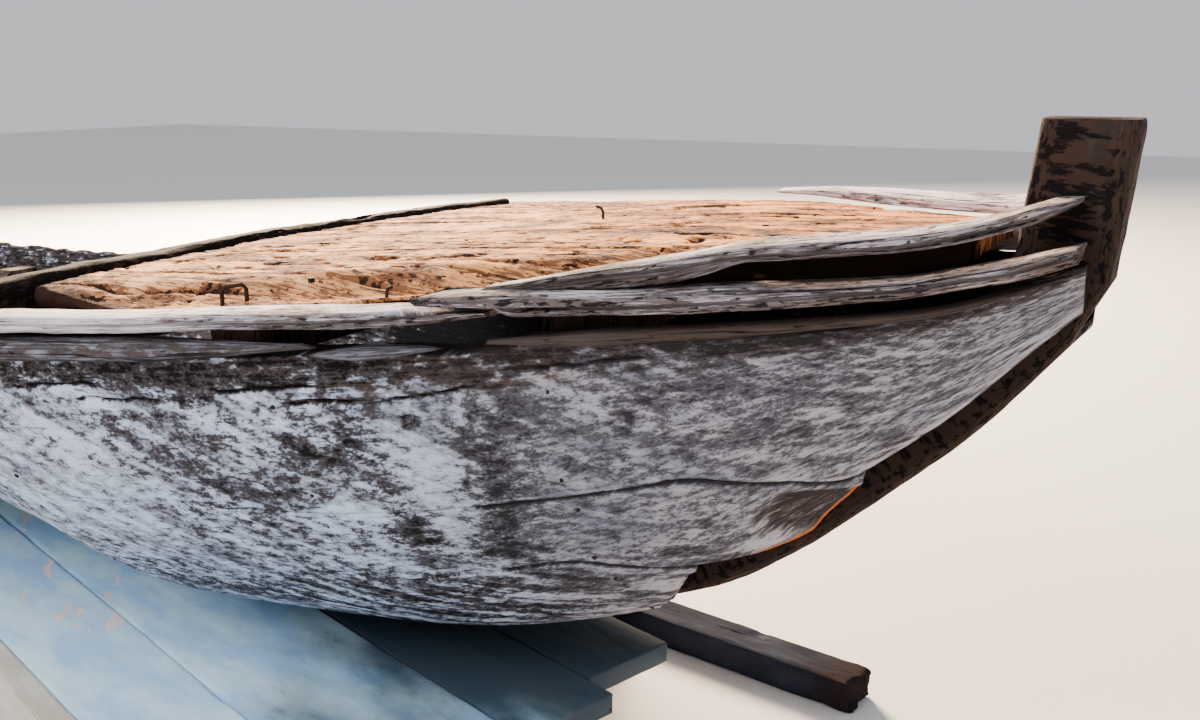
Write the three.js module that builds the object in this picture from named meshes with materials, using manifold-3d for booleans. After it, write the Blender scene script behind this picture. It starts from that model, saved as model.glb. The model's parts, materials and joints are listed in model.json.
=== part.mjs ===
// An old plank-built river boat standing on timbers and painted boards.
// Millimetres. +X to the bow, +Y to port, +Z up. X = 0 and Y = 0 are midships, Z = 0 is the ground.

import * as THREE from 'three';
import Module from 'manifold-3d';
import { mergeVertices } from 'three/addons/utils/BufferGeometryUtils.js';

const wasm = await Module();
wasm.setup();

// Driving sizes
const GAP = 0.4;                      // clearance between pieces that touch
const HALF_LENGTH = 3200;             // midships to the face of the stem
const SUPPORT = 135;                  // ground to the underside of the keel
const PLANK = 45;                     // thickness of the hull planks
const POST_HALF = 45;                 // half the thickness of stem and stern post
const POST_DEPTH = 120;               // from the post's face to its back
const STEM_HEAD = 835;                // height of the stem head above the keel
const STERN_HEAD = 770;
const RIM_DROP = 17.3;                // the planks end this far below the gunwale's middle
const SEAM = 0.0005;                  // half a seam between strakes, as a share of the girth
const SLOPE_STEP = 0.004;             // either side of an angle, to find the section's slope there

// Hull by station, for x from midships to either end. Breadth and keelHalf are half widths.
const STATIONS = [
  { x: 0, breadth: 750, sheer: 490, keel: 55, keelHalf: 120, fullness: 1.5 },
  { x: 900, breadth: 738, sheer: 512, keel: 55, keelHalf: 120, fullness: 1.45 },
  { x: 1500, breadth: 702, sheer: 550, keel: 53, keelHalf: 105, fullness: 1.36 },
  { x: 1720, breadth: 685, sheer: 570, keel: 38, keelHalf: 92, fullness: 1.58 },
  { x: 1930, breadth: 662, sheer: 590, keel: 0, keelHalf: 80, fullness: 1.75 },
  { x: 2280, breadth: 602, sheer: 616, keel: 14, keelHalf: 50, fullness: 1.72 },
  { x: 2680, breadth: 434, sheer: 640, keel: 122, keelHalf: 46, fullness: 1.72 },
  { x: 3030, breadth: 218, sheer: 654, keel: 392, keelHalf: 46, fullness: 1.72 },
  { x: 3200, breadth: 62, sheer: 690, keel: 590, keelHalf: 46, fullness: 1.72 },
];

// Seams between the strakes by girth, 0 at the keel and 1 at the rim. They run nearly level round the bows.
const SEAMS = [
  { x: 0, low: 0.15, middle: 0.4, high: 0.68 },
  { x: 1900, low: 0.15, middle: 0.44, high: 0.68 },
  { x: 2300, low: 0.15, middle: 0.5, high: 0.675 },
  { x: 2585, low: 0.14, middle: 0.505, high: 0.66 },
  { x: 2760, low: 0.12, middle: 0.38, high: 0.65 },
  { x: 2880, low: 0.11, middle: 0.27, high: 0.545 },
  { x: 2960, low: 0.11, middle: 0.25, high: 0.43 },
  { x: 3200, low: 0.13, middle: 0.33, high: 0.55 },
];

// Strakes from seam to seam, with the rows of the loft by their share of the way up. The rub wale covers
// the top strake between two of its rows.
const WALE_LOW = 0.947;
const WALE_HIGH = 0.975;
const STRAKES = [
  { name: 'garboard', low: null, high: 'low', shares: [0, 0.5, 1] },
  { name: 'bilge_strake', low: 'low', high: 'middle', shares: [0, 0.5, 1] },
  { name: 'side_strake', low: 'middle', high: 'high', shares: [0, 0.33, 0.67, 1] },
  { name: 'top_strake', low: 'high', high: null, shares: [0, 0.4, 0.75], rows: [WALE_LOW, WALE_HIGH, 1] },
];

const WOOD = {
  hull: { color: 0x8f8c92, roughness: 0.9 },
  rim: { color: 0xb6aaa8, roughness: 0.9 },
  brown: { color: 0x4f3c31, roughness: 0.9 },
  deck: { color: 0xc59a78, roughness: 0.92 },
  inside: { color: 0x6e6058, roughness: 0.92 },
  painted: { color: 0x8aa3ad, roughness: 0.8 },
  cream: { color: 0xc9b79b, roughness: 0.85 },
};

const boat = new THREE.Group();

function add(name, geometry, finish) {
  const mesh = new THREE.Mesh(geometry, new THREE.MeshStandardMaterial({ ...WOOD[finish], metalness: 0 }));
  mesh.name = name;
  boat.add(mesh);
  return mesh;
}

// A value of a table at x, on a smooth curve through its rows
function column(name, x, table = STATIONS) {
  const at = Math.abs(x);
  const last = table.length - 1;
  const slope = (i) => {
    if (i === 0) return 0;
    if (i === last) return rise(last - 1);
    const before = rise(i - 1);
    const after = rise(i);
    return before * after <= 0 ? 0 : (2 * before * after) / (before + after);
  };
  const rise = (i) => (table[i + 1][name] - table[i][name]) / (table[i + 1].x - table[i].x);
  let i = 0;
  while (i < last - 1 && at > table[i + 1].x) i += 1;
  const width = table[i + 1].x - table[i].x;
  const t = (at - table[i].x) / width;
  const curve = (1 + 2 * t) * (1 - t) ** 2 * table[i][name] + t * t * (3 - 2 * t) * table[i + 1][name];
  return curve + width * t * (1 - t) * ((1 - t) * slope(i) - t * slope(i + 1));
}

// The girths of a strake's rows at x, up to a share of its width where its top is lost
function rowsAt(strake, x, upTo = 1) {
  const { low, high, shares, rows = [] } = strake;
  const bottom = low ? column(low, x, SEAMS) : 0;
  const top = high ? column(high, x, SEAMS) : WALE_LOW;
  return [...shares.map((share) => bottom + share * upTo * (top - bottom)), ...rows];
}

const keelZ = (x) => SUPPORT + column('keel', x);
const sheerZ = (x) => SUPPORT + column('sheer', x);
const breadth = (x) => column('breadth', x);

// Planks thin out towards the posts, to this share of their thickness
const END_SHARE = 0.3;
const THIN_FROM = 2600;

function thinning(x) {
  const t = Math.max(Math.abs(x) - THIN_FROM, 0) / (HALF_LENGTH - THIN_FROM);
  return 1 - (1 - END_SHARE) * t;
}

// The outside of the hull on the port side at one station, by girth, moved inwards by depth
function sectionPoint(x, girth, depthIn) {
  const inset = depthIn > 0 ? depthIn * thinning(x) : depthIn;
  const power = 2 / column('fullness', x);
  const keelHalf = column('keelHalf', x);
  const depth = sheerZ(x) - keelZ(x);
  const wide = breadth(x) - keelHalf;
  const top = Math.acos((RIM_DROP / depth) ** (1 / power));
  const point = (angle) => [
    keelHalf + wide * Math.max(Math.sin(angle), 0) ** power,
    sheerZ(x) - depth * Math.max(Math.cos(angle), 0) ** power,
  ];
  const angle = girth * top;
  const [y, z] = point(angle);
  if (girth > 1 - 2 * SEAM) return [y - inset, z];       // the rim is cut level
  const [ya, za] = point(Math.max(angle - SLOPE_STEP, 0));
  const [yb, zb] = point(Math.min(angle + SLOPE_STEP, Math.PI / 2));
  const length = Math.hypot(yb - ya, zb - za);
  const inner = y - (inset * (zb - za)) / length;
  return [Math.max(inner, keelHalf), z + (inset * (yb - ya)) / length];
}

// Stations of the loft, closer together towards the ends
const STEPS = 14;
const GRID = [];
for (let i = -STEPS; i <= STEPS; i += 1) GRID.push(HALF_LENGTH * Math.sin((i / STEPS) * (Math.PI / 2)));

// The same point at any x, straight between the stations of the loft, so that pieces fit each other's facets.
// girth is a number, or a function of x where it follows a seam.
function hullPoint(x, girth, inset) {
  const girthAt = typeof girth === 'function' ? girth : () => girth;
  let i = 0;
  while (i < GRID.length - 2 && x > GRID[i + 1]) i += 1;
  const t = (x - GRID[i]) / (GRID[i + 1] - GRID[i]);
  const [ya, za] = sectionPoint(GRID[i], girthAt(GRID[i]), inset);
  const [yb, zb] = sectionPoint(GRID[i + 1], girthAt(GRID[i + 1]), inset);
  return [ya + t * (yb - ya), za + t * (zb - za)];
}

const NEAREST = 15;                   // a station of the grid is left out if it is this near an end

function stationsBetween(from, to) {
  return [from, ...GRID.filter((x) => x > from + NEAREST && x < to - NEAREST), to];
}

// A closed solid through equal rings of points. A ring goes out along one face and back along the other,
// so each end is closed by a strip between the two, and both faces split their quads the same way.
function loft(rings) {
  const size = rings[0].length;
  const faces = [];
  for (let i = 0; i + 1 < rings.length; i += 1) {
    for (let j = 0; j < size; j += 1) {
      const a = i * size + j;
      const b = i * size + ((j + 1) % size);
      if (j < size / 2) faces.push(a, b, b + size, a, b + size, a + size);
      else faces.push(a, b, a + size, b, b + size, a + size);
    }
  }
  const end = (rings.length - 1) * size;
  for (let j = 0; j + 1 < size / 2; j += 1) {
    const back = size - 1 - j;
    faces.push(j + 1, j, back, j + 1, back, back - 1);
    faces.push(end + j, end + j + 1, end + back - 1, end + j, end + back - 1, end + back);
  }
  const geometry = new THREE.BufferGeometry();
  geometry.setAttribute('position', new THREE.Float32BufferAttribute(rings.flat(2), 3));
  geometry.setIndex(faces);
  return outward(geometry);
}

// Turns a closed solid's faces outwards
function outward(geometry) {
  const p = geometry.getAttribute('position');
  const faces = Array.from(geometry.getIndex().array);
  const [a, b, c] = [new THREE.Vector3(), new THREE.Vector3(), new THREE.Vector3()];
  let volume = 0;
  for (let i = 0; i < faces.length; i += 3) {
    a.fromBufferAttribute(p, faces[i]);
    b.fromBufferAttribute(p, faces[i + 1]);
    c.fromBufferAttribute(p, faces[i + 2]);
    volume += a.dot(b.cross(c));
  }
  if (volume < 0) {
    for (let i = 0; i < faces.length; i += 3) [faces[i + 1], faces[i + 2]] = [faces[i + 2], faces[i + 1]];
    geometry.setIndex(faces);
  }
  geometry.computeVertexNormals();
  return geometry;
}

// A three.js shape with its corners shared between faces
function welded(geometry) {
  const bare = geometry.clone();
  bare.deleteAttribute('normal');
  bare.deleteAttribute('uv');
  const merged = mergeVertices(bare, 1e-4);
  merged.computeVertexNormals();
  return merged;
}

function solid(geometry) {
  return new wasm.Manifold(new wasm.Mesh({
    numProp: 3,
    vertProperties: new Float32Array(geometry.getAttribute('position').array),
    triVerts: new Uint32Array(geometry.getIndex().array),
  }));
}

function geometryOf(manifold) {
  const mesh = manifold.getMesh();
  const geometry = new THREE.BufferGeometry();
  geometry.setAttribute('position', new THREE.BufferAttribute(mesh.vertProperties, 3));
  geometry.setIndex(new THREE.BufferAttribute(mesh.triVerts, 1));
  geometry.computeVertexNormals();
  return geometry;
}

// The geometry with others cut away from it, keeping its largest piece
function cut(geometry, ...cutters) {
  let body = solid(geometry);
  for (const cutter of cutters) body = body.subtract(solid(cutter));
  const pieces = body.decompose().sort((a, b) => b.volume() - a.volume());
  return geometryOf(pieces[0]);
}

// Posts: a curved timber that follows the keel line up to its head
const POST_FOOT = 2250;
const POST_STATIONS = [POST_FOOT, 2420, 2580, 2740, 2880, 3000, 3100, 3170];
const NECK = { x: HALF_LENGTH + 12, z: SUPPORT + 640 };          // a point of the post's face near its head
const HEAD_X = HALF_LENGTH + 30;

function postGeometry(end, head, grow) {
  const face = POST_STATIONS.map((x) => [x, keelZ(x)]);
  face.push([NECK.x, NECK.z], [HEAD_X, SUPPORT + head]);
  const back = [];
  for (let i = face.length - 1; i >= 0; i -= 1) {
    const [xa, za] = face[Math.max(i - 1, 0)];
    const [xb, zb] = face[Math.min(i + 1, face.length - 1)];
    const length = Math.hypot(xb - xa, zb - za);
    const foot = i === 0 ? PLANK : POST_DEPTH;
    back.push([face[i][0] - (foot * (zb - za)) / length, face[i][1] + (foot * (xb - xa)) / length]);
  }
  back[0][1] = SUPPORT + head;
  const shape = new THREE.Shape([...face, ...back].map(([x, z]) => new THREE.Vector2(x, z)));
  const half = POST_HALF + grow;
  const geometry = new THREE.ExtrudeGeometry(shape, { depth: 2 * half, bevelEnabled: false, steps: 1 });
  geometry.rotateX(Math.PI / 2);
  geometry.translate(0, half, 0);
  if (end < 0) geometry.rotateZ(Math.PI);
  return welded(geometry);
}

const stemSpace = postGeometry(1, STEM_HEAD, GAP);
const sternSpace = postGeometry(-1, STERN_HEAD, GAP);
add('stem_post', postGeometry(1, STEM_HEAD, 0), 'brown');
add('stern_post', postGeometry(-1, STERN_HEAD, 0), 'brown');

// Keel plank, flat underneath
const keelEnd = POST_FOOT - GAP;
const keelRings = stationsBetween(-keelEnd, keelEnd).map((x) => {
  const half = hullPoint(x, 0, 0)[0] - GAP;
  const low = hullPoint(x, 0, 0)[1];
  return [[x, -half, low], [x, half, low], [x, half, low + PLANK], [x, -half, low + PLANK]];
});
add('keel_plank', cut(loft(keelRings), stemSpace, sternSpace), 'hull');

// Strakes. Each row says how far a plank reaches and, where its top is lost, what share of its width is left.
const END = HALF_LENGTH - 15;
const WAIST = 1680;
const TORN = 0.4;                     // what is left of the port top strake along the waist
const PLANKS = [
  { side: -1, strake: 0, from: -END, to: HALF_LENGTH - 540 },
  { side: -1, strake: 1, from: -END, to: HALF_LENGTH - 420 },
  { side: -1, strake: 2, from: -END, to: HALF_LENGTH - 240 },
  { side: -1, strake: 3, from: -END, to: END },
  { side: 1, strake: 0, from: -END, to: END },
  { side: 1, strake: 1, from: -END, to: END },
  { side: 1, strake: 2, from: -END, to: END },
  { side: 1, strake: 3, from: WAIST, to: END, suffix: '_fore' },
  { side: 1, strake: 3, from: -WAIST + GAP, to: WAIST - GAP, suffix: '_waist', left: TORN },
  { side: 1, strake: 3, from: -END, to: -WAIST, suffix: '_aft' },
];

function sideName(side) {
  return side < 0 ? 'starboard' : 'port';
}

// Cuts a piece that reaches the end of the boat to fit round its posts
function betweenPosts(geometry, from, to) {
  let fitted = geometry;
  if (to === END) fitted = cut(fitted, stemSpace);
  if (from === -END) fitted = cut(fitted, sternSpace);
  return fitted;
}

for (const { side, strake, from, to, suffix = '', left } of PLANKS) {
  const { shares, rows = [] } = STRAKES[strake];
  const count = left ? shares.length : shares.length + rows.length;
  const order = [...Array(count).keys()];
  const girthOf = (row) => (x) => {
    const eased = { 0: SEAM, [count - 1]: -SEAM }[row] ?? 0;
    return rowsAt(STRAKES[strake], x, left)[row] + eased;
  };
  const ring = [...order.map((row) => [row, 0]), ...order.toReversed().map((row) => [row, PLANK])];
  const rings = stationsBetween(from, to).map((x) => ring.map(([row, inset]) => {
    const [y, z] = hullPoint(x, girthOf(row), inset);
    return [x, side * y, z];
  }));
  add(`${sideName(side)}_${STRAKES[strake].name}${suffix}`, betweenPosts(loft(rings), from, to), 'hull');
}

// The rim's line at x: half breadth, height, and how much longer a slanted cut across a rail is
function rim(x) {
  let i = 0;
  while (i < GRID.length - 2 && x > GRID[i + 1]) i += 1;
  const t = (x - GRID[i]) / (GRID[i + 1] - GRID[i]);
  const blend = (f) => f(GRID[i]) + t * (f(GRID[i + 1]) - f(GRID[i]));
  const slope = (breadth(x + NEAREST) - breadth(x - NEAREST)) / (2 * NEAREST);
  return { y: blend(breadth), z: blend(sheerZ), stretch: Math.hypot(1, slope) };
}

// How much of its full size a rail has at x, where its ends are worn thin
function wear(x, { from, to, fromScale = 1, toScale = 1, taper = 160 }) {
  const near = fromScale + ((1 - fromScale) * (x - from)) / taper;
  const far = toScale + ((1 - toScale) * (to - x)) / taper;
  return Math.min(1, near, far);
}

const EASED = 0.3;                    // an edge is eased by this share of the bar's half size

// A bar with eased edges that follows the rim. out and rise place its middle.
function rail(row) {
  const { side, from, to, out, width, height, rise } = row;
  const rings = stationsBetween(from, to).map((x) => {
    const { y, z, stretch } = rim(x);
    const w = (width / 2) * wear(x, row);
    const h = (height / 2) * wear(x, row);
    const e = EASED * Math.min(w, h);
    const lower = [[-w, -h + e], [-w + e, -h], [w - e, -h], [w, -h + e]];
    const upper = [[w, h - e], [w - e, h], [-w + e, h], [-w, h - e]];
    return [...lower, ...upper].map(([o, lift]) => [x, side * (y + (out + o) * stretch), z + rise(x) + lift]);
  });
  return loft(rings);
}

const LOG = { width: 78, height: 33, out: 2, rise: () => 0 };
const LOG_JOINT = 2540;               // the starboard gunwale has broken across here
const LOGS = [
  { name: 'starboard_gunwale_aft', side: -1, from: -END, to: LOG_JOINT, toScale: 0.85, taper: 60 },
  { name: 'starboard_gunwale_fore', side: -1, from: LOG_JOINT + 4, to: END, fromScale: 0.9, taper: 60 },
  { name: 'port_gunwale_fore', side: 1, from: WAIST, to: END },
  { name: 'port_gunwale_aft', side: 1, from: -END, to: -WAIST },
];
for (const row of LOGS) {
  add(row.name, betweenPosts(rail({ ...LOG, ...row }), row.from, row.to), 'rim');
}

// Rub wales, on the face of the top strake below the gunwale
const WALE_PROUD = 30;
const WALE_EASE = 0.004;              // its edges are eased by this share of the girth,
const WALE_SIDE = 0.7;                // from this share of its thickness outwards
const WALES = [
  { name: 'starboard_wale', side: -1, from: -END, to: HALF_LENGTH - 760, toScale: 0.4, finish: 'rim' },
  { name: 'starboard_bow_wale', side: -1, from: HALF_LENGTH - 600, to: END, fromScale: 0.35, finish: 'brown' },
  { name: 'port_wale_fore', side: 1, from: WAIST, to: END, finish: 'rim' },
  { name: 'port_wale_aft', side: 1, from: -END, to: -WAIST, finish: 'rim' },
];
for (const row of WALES) {
  const { name, side, from, to, finish } = row;
  const rings = stationsBetween(from, to).map((x) => {
    const proud = WALE_PROUD * wear(x, row);
    const ring = [
      [WALE_LOW, GAP], [WALE_HIGH, GAP], [WALE_HIGH, WALE_SIDE * proud], [WALE_HIGH - WALE_EASE, proud],
      [WALE_LOW + WALE_EASE, proud], [WALE_LOW, WALE_SIDE * proud],
    ];
    return ring.map(([girth, out]) => {
      const [y, z] = hullPoint(x, girth, -out);
      return [x, side * y, z];
    });
  });
  add(name, betweenPosts(loft(rings), from, to), finish);
}

// Decks lie a little above the rim's line, crowned across the boat
const DECK_THICK = 30;
const CROWN = 14;
const BEAM_X = 1890;                  // middle of the cambered beam at a deck's inner edge
const BEAM_WIDE = 64;
const DECK_CLIMB = { from: 2200, over: 500, height: 14 };         // the decks climb towards the posts
const DECK_SIDE_GAP = 4;              // between a deck and the gunwale beside it
const NARROWEST = 16;                 // a deck plank stops where it would be narrower

function deckTop(x, y) {
  const { from, over, height } = DECK_CLIMB;
  const climb = height * Math.min(Math.max((Math.abs(x) - from) / over, 0), 1);
  return sheerZ(x) + LOG.height / 2 + climb + CROWN * (1 - Math.min(1, (y / breadth(x)) ** 2));
}

// Half the width that is free between the gunwales at x
function deckHalf(x) {
  const { y, stretch } = rim(x);
  return y - (LOG.width / 2 - LOG.out + DECK_SIDE_GAP) * stretch;
}

// The foredeck's starboard edge has rotted back from the gunwale near the beam
const ROTTED = { from: 1922, to: 2130, width: 62 };
function rottedBack(end, y, x) {
  return end > 0 && y < 0 ? (ROTTED.width * Math.max(ROTTED.to - x, 0)) / (ROTTED.to - ROTTED.from) : 0;
}

// A plank from y = left to y = right through the stations, up to where the gunwale leaves it no width
function deckPlank(end, left, right, stations) {
  const rings = [];
  for (const x of stations) {
    const free = deckHalf(x);
    const a = Math.min(Math.max(left, rottedBack(end, left, x) - free), free);
    const b = Math.min(Math.max(right, -free), free);
    if (b - a < NARROWEST) break;
    const middle = (a + b) / 2;
    const top = [a, middle, b].map((y) => [end * x, y, deckTop(x, y)]);
    const under = [b, middle, a].map((y) => [end * x, y, deckTop(x, y) - DECK_THICK]);
    rings.push([...top, ...under]);
  }
  return loft(rings);
}

// Stations of the decks: their inner edge, both faces of each beam below, and some between
const DECK_EDGE = BEAM_X + BEAM_WIDE / 2 + GAP;
const DECKS = [
  {
    name: 'foredeck', end: 1, space: stemSpace,
    seams: [-640, -450, -270, -90, 90, 270, 450, 640],
    stations: [DECK_EDGE, 2080, 2130, 2250, 2310, 2400, 2480, 2560, 2630, 2690, 2850, 2960, 3075],
  },
  {
    name: 'afterdeck', end: -1, space: sternSpace,
    seams: [-640, -380, -125, 125, 380, 640],
    stations: [DECK_EDGE, 2080, 2250, 2390, 2450, 2540, 2650, 2850, 2960, 3075],
  },
];
for (const { name, end, seams, stations, space } of DECKS) {
  for (let i = 0; i + 1 < seams.length; i += 1) {
    const geometry = deckPlank(end, seams[i] + 1, seams[i + 1] - 1, stations);
    add(`${name}_plank_${i + 1}`, cut(geometry, space), 'deck');
  }
}

// The room inside the planking, by how far it lies inside its outer face, open far above the rim
const ROOM_END = HALF_LENGTH - 60;
const ROOM_ABOVE = 200;

function hullRoom(inset) {
  const rings = stationsBetween(-ROOM_END, ROOM_END).map((x) => {
    const port = [];
    for (const strake of STRAKES) {
      const last = rowsAt(strake, x).length - 1;
      for (let row = 0; row < last; row += 1) port.push(hullPoint(x, (at) => rowsAt(strake, at)[row], inset));
    }
    const [rimY, rimZ] = hullPoint(x, 1, inset);
    port.push([rimY, rimZ], [rimY, rimZ + ROOM_ABOVE]);
    const across = port.map(([y, z]) => [x, y, z]);
    return [...across, ...across.toReversed().map(([, y, z]) => [x, -y, z])];
  });
  return loft(rings);
}

function block(x, y, z) {
  const geometry = new THREE.BoxGeometry(x[1] - x[0], y[1] - y[0], z[1] - z[0]);
  return welded(geometry.translate((x[0] + x[1]) / 2, (y[0] + y[1]) / 2, (z[0] + z[1]) / 2));
}

function inside(geometry, room) {
  return geometryOf(solid(geometry).intersect(solid(room)));
}

const room = hullRoom(PLANK + GAP);

// Beams across the hull: level below, cambered on top, fitted between the planks
const BEAM_STEPS = 8;

function beam(x, wide, top, deep) {
  const rings = [];
  const half = breadth(x);
  for (let i = 0; i <= BEAM_STEPS; i += 1) {
    const y = half * ((2 * i) / BEAM_STEPS - 1);
    const [a, b] = [x - wide / 2, x + wide / 2];
    const low = sheerZ(x) - deep;
    rings.push([[a, y, top(a, y)], [b, y, top(b, y)], [b, y, low], [a, y, low]]);
  }
  return loft(rings);
}

const BEAM_ABOVE = 12;                // the main beams stand this far above the decks
const underDeck = (x, y) => deckTop(x, y) - DECK_THICK - GAP;
const aboveDeck = (x, y) => deckTop(x, y) + BEAM_ABOVE;
const BEAM_END_GAP = 12;              // a beam below the deck ends this far from the planks
const BEAMS = [
  { name: 'fore_main_beam', x: BEAM_X, wide: BEAM_WIDE, top: aboveDeck, deep: 95 },
  { name: 'aft_main_beam', x: -BEAM_X, wide: BEAM_WIDE, top: aboveDeck, deep: 95 },
  { name: 'foredeck_beam_1', x: 2280, wide: 60, top: underDeck, deep: 70 },
  { name: 'foredeck_beam_2', x: 2660, wide: 60, top: underDeck, deep: 70 },
  { name: 'afterdeck_beam', x: -2420, wide: 60, top: underDeck, deep: 70 },
];
const roomBelowDeck = hullRoom(PLANK + BEAM_END_GAP);
for (const { name, x, wide, top, deep } of BEAMS) {
  add(name, inside(beam(x, wide, top, deep), top === underDeck ? roomBelowDeck : room), 'brown');
}

// Covering boards round the bow, lying on the deck's edge above the gunwale
const COVER = { start: 2590, width: 96, height: 22, out: -12, lift: 1.8 };
for (const side of [-1, 1]) {
  const rise = (x) => {
    const { y, z, stretch } = rim(x);
    const inner = Math.max(y + (COVER.out - COVER.width / 2) * stretch, 0);
    return deckTop(x, inner) - z + COVER.lift + COVER.height / 2;
  };
  const cover = rail({ ...COVER, side, from: COVER.start, to: END, rise, fromScale: 0.35, taper: 240 });
  add(`${sideName(side)}_bow_cover`, cut(cover, stemSpace), 'rim');
}

// Frames: a level floor timber and a futtock up each side, lower where the port top strake is lost
const FLOOR = SUPPORT + 190;
const FRAME_WIDE = 50;
const FRAME_DEEP = 52;
const FRAMES = [-1450, -880, -300, 300, 880, 1450];
const FRAME_BELOW = { starboard: 45, port: 12 };    // below the gunwale and below the torn plank
const FAR = 900;                      // beyond the hull either way
const frameRoom = hullRoom(PLANK + FRAME_DEEP);
for (const [i, x] of FRAMES.entries()) {
  const reach = [x - FRAME_WIDE / 2, x + FRAME_WIDE / 2];
  const past = [x - FRAME_WIDE, x + FRAME_WIDE];
  const starboardHead = sheerZ(x) - FRAME_BELOW.starboard;
  const portHead = hullPoint(x, rowsAt(STRAKES.at(-1), x, TORN)[2], 0)[1] - FRAME_BELOW.port;
  const body = solid(inside(block(reach, [-FAR, FAR], [SUPPORT, starboardHead]), room));
  const hollow = solid(inside(block(past, [-FAR, FAR], [FLOOR, SUPPORT + FAR]), frameRoom));
  const lost = solid(block(past, [0, FAR], [portHead, SUPPORT + FAR]));
  add(`frame_${i + 1}`, geometryOf(body.subtract(hollow).subtract(lost)), 'inside');
}

// Bottom boards on the floor timbers
const BOARD_THICK = 22;
const BOTTOM_BOARDS = [
  { y: [-236, -88], x: [-1400, 1390] },
  { y: [-80, 82], x: [-1520, 1520] },
  { y: [92, 236], x: [-1405, 960] },
];
for (const [i, { x, y }] of BOTTOM_BOARDS.entries()) {
  add(`bottom_board_${i + 1}`, block(x, y, [FLOOR + GAP, FLOOR + GAP + BOARD_THICK]), 'inside');
}

// Supports under the bow: boards laid askew over two bearers, with a cream timber along their outer edge
const SKEW = THREE.MathUtils.degToRad(-18);
const GROOVE = [2010, -422];          // a point on the joint between the first two boards

function askew(geometry) {
  return geometry.rotateZ(SKEW).translate(GROOVE[0], GROOVE[1], 0);
}

// Across and along the boards, from that point
const BOARD_THICK_PAINTED = 35;
const BOARDS = [
  { y: [-178, 0], x: [-1370, 628] },
  { y: [0, 256], x: [-1350, 558] },
  { y: [256, 430], x: [-1395, 488] },
  { y: [430, 604], x: [-1335, 431] },
];
const JOINT = 1;                      // half the joint between two boards
for (const [i, { x, y }] of BOARDS.entries()) {
  const across = [y[0] + JOINT, y[1] - JOINT];
  const board = block(x, across, [SUPPORT - BOARD_THICK_PAINTED, SUPPORT - GAP]);
  add(`support_board_${i + 1}`, askew(board), 'painted');
}

const CREAM = { wide: 42, x: [-1350, 540] };
const edge = BOARDS[0].y[0] + JOINT - GAP;
add('cream_edge_timber', askew(block(CREAM.x, [edge - CREAM.wide, edge], [0, SUPPORT - GAP])), 'cream');
const creamSpace = askew(block([-HALF_LENGTH, HALF_LENGTH], [-FAR, edge + GAP], [-GAP, SUPPORT]));

// A squared timber on the ground, against the end of the fore bearer
const SQUARED = { long: 660, wide: 80, high: 56, at: [2560, 261], turn: THREE.MathUtils.degToRad(-10) };

function squaredTimber(grown, high) {
  const half = [SQUARED.long / 2, SQUARED.wide / 2 + grown];
  const timber = block([-half[0], half[0]], [-half[1], half[1]], [-grown, high]);
  return timber.rotateZ(SQUARED.turn).translate(...SQUARED.at, 0);
}

add('squared_timber', squaredTimber(0, SQUARED.high), 'painted');

const bearerTop = SUPPORT - BOARD_THICK_PAINTED - GAP;
const BEARERS = [
  { x: [900, 1000], y: [-700, 520] },
  { x: [2240, 2340], y: [-700, 290] },
];
for (const [i, { x, y }] of BEARERS.entries()) {
  const bearer = block(x, y, [0, bearerTop]);
  add(`bow_bearer_${i + 1}`, cut(bearer, creamSpace, squaredTimber(GAP, SUPPORT)), 'brown');
}

// Sleepers under the after half
const SLEEPER_X = [-950, -1930];
const SLEEPER = { half: 75, reach: 800 };
for (const [i, x] of SLEEPER_X.entries()) {
  const across = [x - SLEEPER.half, x + SLEEPER.half];
  const kinks = GRID.filter((at) => at > across[0] && at < across[1]);
  const keelAt = [...across, ...kinks].map((at) => hullPoint(at, 0, 0)[1]);
  const top = Math.min(...keelAt) - GAP;
  add(`stern_sleeper_${i + 1}`, block(across, [-SLEEPER.reach, SLEEPER.reach], [0, top]), 'brown');
}

export default boat;
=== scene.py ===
import json
import math

import bpy
import numpy as np
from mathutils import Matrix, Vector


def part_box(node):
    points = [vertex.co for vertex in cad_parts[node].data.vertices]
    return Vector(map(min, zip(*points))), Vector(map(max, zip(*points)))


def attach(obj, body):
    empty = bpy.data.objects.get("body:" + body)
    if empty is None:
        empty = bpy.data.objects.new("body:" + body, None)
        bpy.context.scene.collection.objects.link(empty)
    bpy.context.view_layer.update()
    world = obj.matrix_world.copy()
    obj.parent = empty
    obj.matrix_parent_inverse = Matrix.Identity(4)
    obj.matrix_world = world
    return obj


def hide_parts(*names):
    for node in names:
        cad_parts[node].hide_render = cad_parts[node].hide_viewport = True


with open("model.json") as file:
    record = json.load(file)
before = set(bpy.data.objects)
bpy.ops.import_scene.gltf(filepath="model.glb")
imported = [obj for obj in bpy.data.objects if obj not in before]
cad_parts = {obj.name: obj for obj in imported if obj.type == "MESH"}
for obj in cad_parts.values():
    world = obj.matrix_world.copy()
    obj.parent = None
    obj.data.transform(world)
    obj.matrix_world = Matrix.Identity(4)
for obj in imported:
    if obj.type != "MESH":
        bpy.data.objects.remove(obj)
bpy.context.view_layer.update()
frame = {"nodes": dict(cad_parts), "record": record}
scene = bpy.context.scene

# Camera, at the photograph's place beside the starboard bow
CAMERA_PLACE = (3.367, -1.569, 1.031)
CAMERA_TILT = 76.2
CAMERA_HEADING = 29.2
CAMERA_LENS = 36


def add(name, data):
    """A new object of the scene."""
    made = bpy.data.objects.new(name, data)
    scene.collection.objects.link(made)
    return made


scene.camera = add("camera", bpy.data.cameras.new("camera"))
scene.camera.data.lens = CAMERA_LENS
scene.camera.location = CAMERA_PLACE
scene.camera.rotation_euler = (math.radians(CAMERA_TILT), 0, math.radians(CAMERA_HEADING))

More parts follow.
